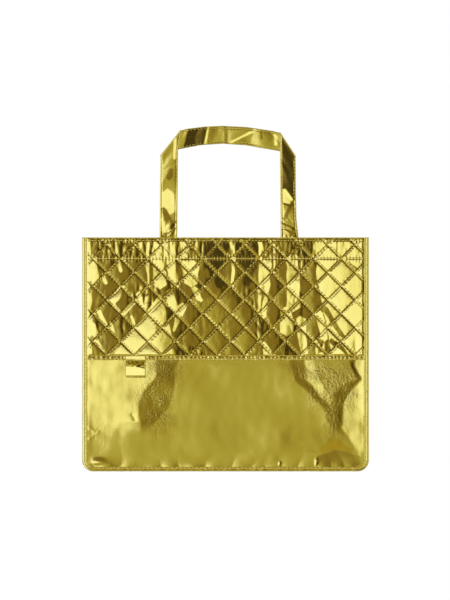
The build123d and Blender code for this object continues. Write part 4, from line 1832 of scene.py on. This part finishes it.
        return PanelRelief(
            Side.FRONT,
            self.layout,
            lines,
            facets,
            swells=(Swell(-0.176, 0.013, 0.010, 0.005, 0.0004),),
            shades=(
                Facet((152, 37), (156, 25), (44, 60), Tone.AMBER, 7),
                Facet((157, 24), (157, 6), (62, 66), Tone.DULL, 3, point=0.3),
            ),
            creases=(
                Crease((0.075, 0.006), (0.076, 0.014), 0.0010, 0.0004),
                Crease((0.126, 0.006), (0.127, 0.018), 0.0010, 0.0005),
                Crease((-0.192, 0.062), (-0.182, 0.055), 0.0025, 0.00013),
                Crease((-0.192, 0.044), (-0.176, 0.056), 0.0030, 0.00013),
                Crease((-0.131, 0.081), (-0.125, 0.070), 0.0022, -0.00014),
            ),
            crushed=(
                Swell(-0.096, 0.104, 0.022, 0.040, 1.1),
                Swell(-0.085, 0.148, 0.022, 0.014, 1.2),
                Swell(0.120, 0.142, 0.026, 0.016, 1.2),
                Swell(0.136, 0.110, 0.024, 0.020, 1.3),
                Swell(0.153, 0.080, 0.014, 0.028, 1.3),
                Swell(0.166, 0.120, 0.024, 0.024, 1.2),
                Swell(-0.178, 0.050, 0.014, 0.022, 0.25),
            ),
        )

    def back_relief(self) -> PanelRelief:
        """The back's ridge lines, facets, swells and creases."""
        edge = self.layout.half_panel / MM
        lines = (
            RidgeLine(((0, -edge, 0), (400, -edge, 0))),
            RidgeLine(((6, -140, 0), (40, -138, 0.6), (90, -146, 1.2), (165, -132, 1.0), (326, -130, 0.2))),
            RidgeLine(((6, -110, 0), (40, -104, 0.5), (90, -116, 0.5), (165, -98, 0.4), (326, -96, 0.2))),
            RidgeLine(((6, 20, 0), (40, 16, 0.4), (90, 28, 0.7), (165, 10, 0.6), (326, 10, 0.2))),
            RidgeLine(((6, 70, 0), (40, 92, 0.5), (90, 74, 1.2), (165, 88, 1.3), (326, 88, 0.3))),
            RidgeLine(((6, 130, 0), (40, 120, 0.3), (90, 112, 0.3), (165, 120, 0.3), (326, 118, 0.1))),
            RidgeLine(((0, edge, 0), (400, edge, 0))),
        )
        facets = (
            Facet((20, 240), (0, 160), (60, 90), Tone.DULL, 9, calm=0.5),
            Facet((40, 322), (38, 290), (30, 34), Tone.DEEP, 3, calm=0.9),
            Facet((-46, 322), (-44, 292), (26, 24), Tone.DEEP, 3, calm=0.9),
            Facet((-172, 345), (-166, 140), (44, 50), calm=0.8),
            Facet((-112, 324), (-106, 236), (10, 18)),
            Facet((-100, 230), (-78, 160), (16, 60)),
            Facet((-62, 324), (-58, 270), (7, 9), soft=1.5),
            Facet((2, 324), (4, 262), (7, 5), soft=1.5),
            Facet((66, 318), (60, 250), (9, 14)),
            Facet((84, 256), (104, 160), (8, 46)),
            Facet((118, 324), (122, 230), (18, 26)),
            Facet((189, 326), (188, 160), (12, 10)),
        )
        return PanelRelief(
            Side.BACK,
            self.layout,
            lines,
            facets,
            swells=(Swell(-0.150, 0.016, 0.026, 0.008, 0.0009),),
            creases=(Crease((-0.060, 0.006), (-0.061, 0.022), 0.0014, 0.0007),),
            crushed=(Swell(-0.120, 0.100, 0.030, 0.040, 1.0), Swell(0.100, 0.110, 0.026, 0.040, 1.0)),
            seed=7,
        )


def main() -> None:
    """Builds the studio and the bag."""
    logging.basicConfig(level=logging.INFO, format="%(message)s")
    Studio().build()
    GiftBag().build()


if __name__ == "__main__":
    main()
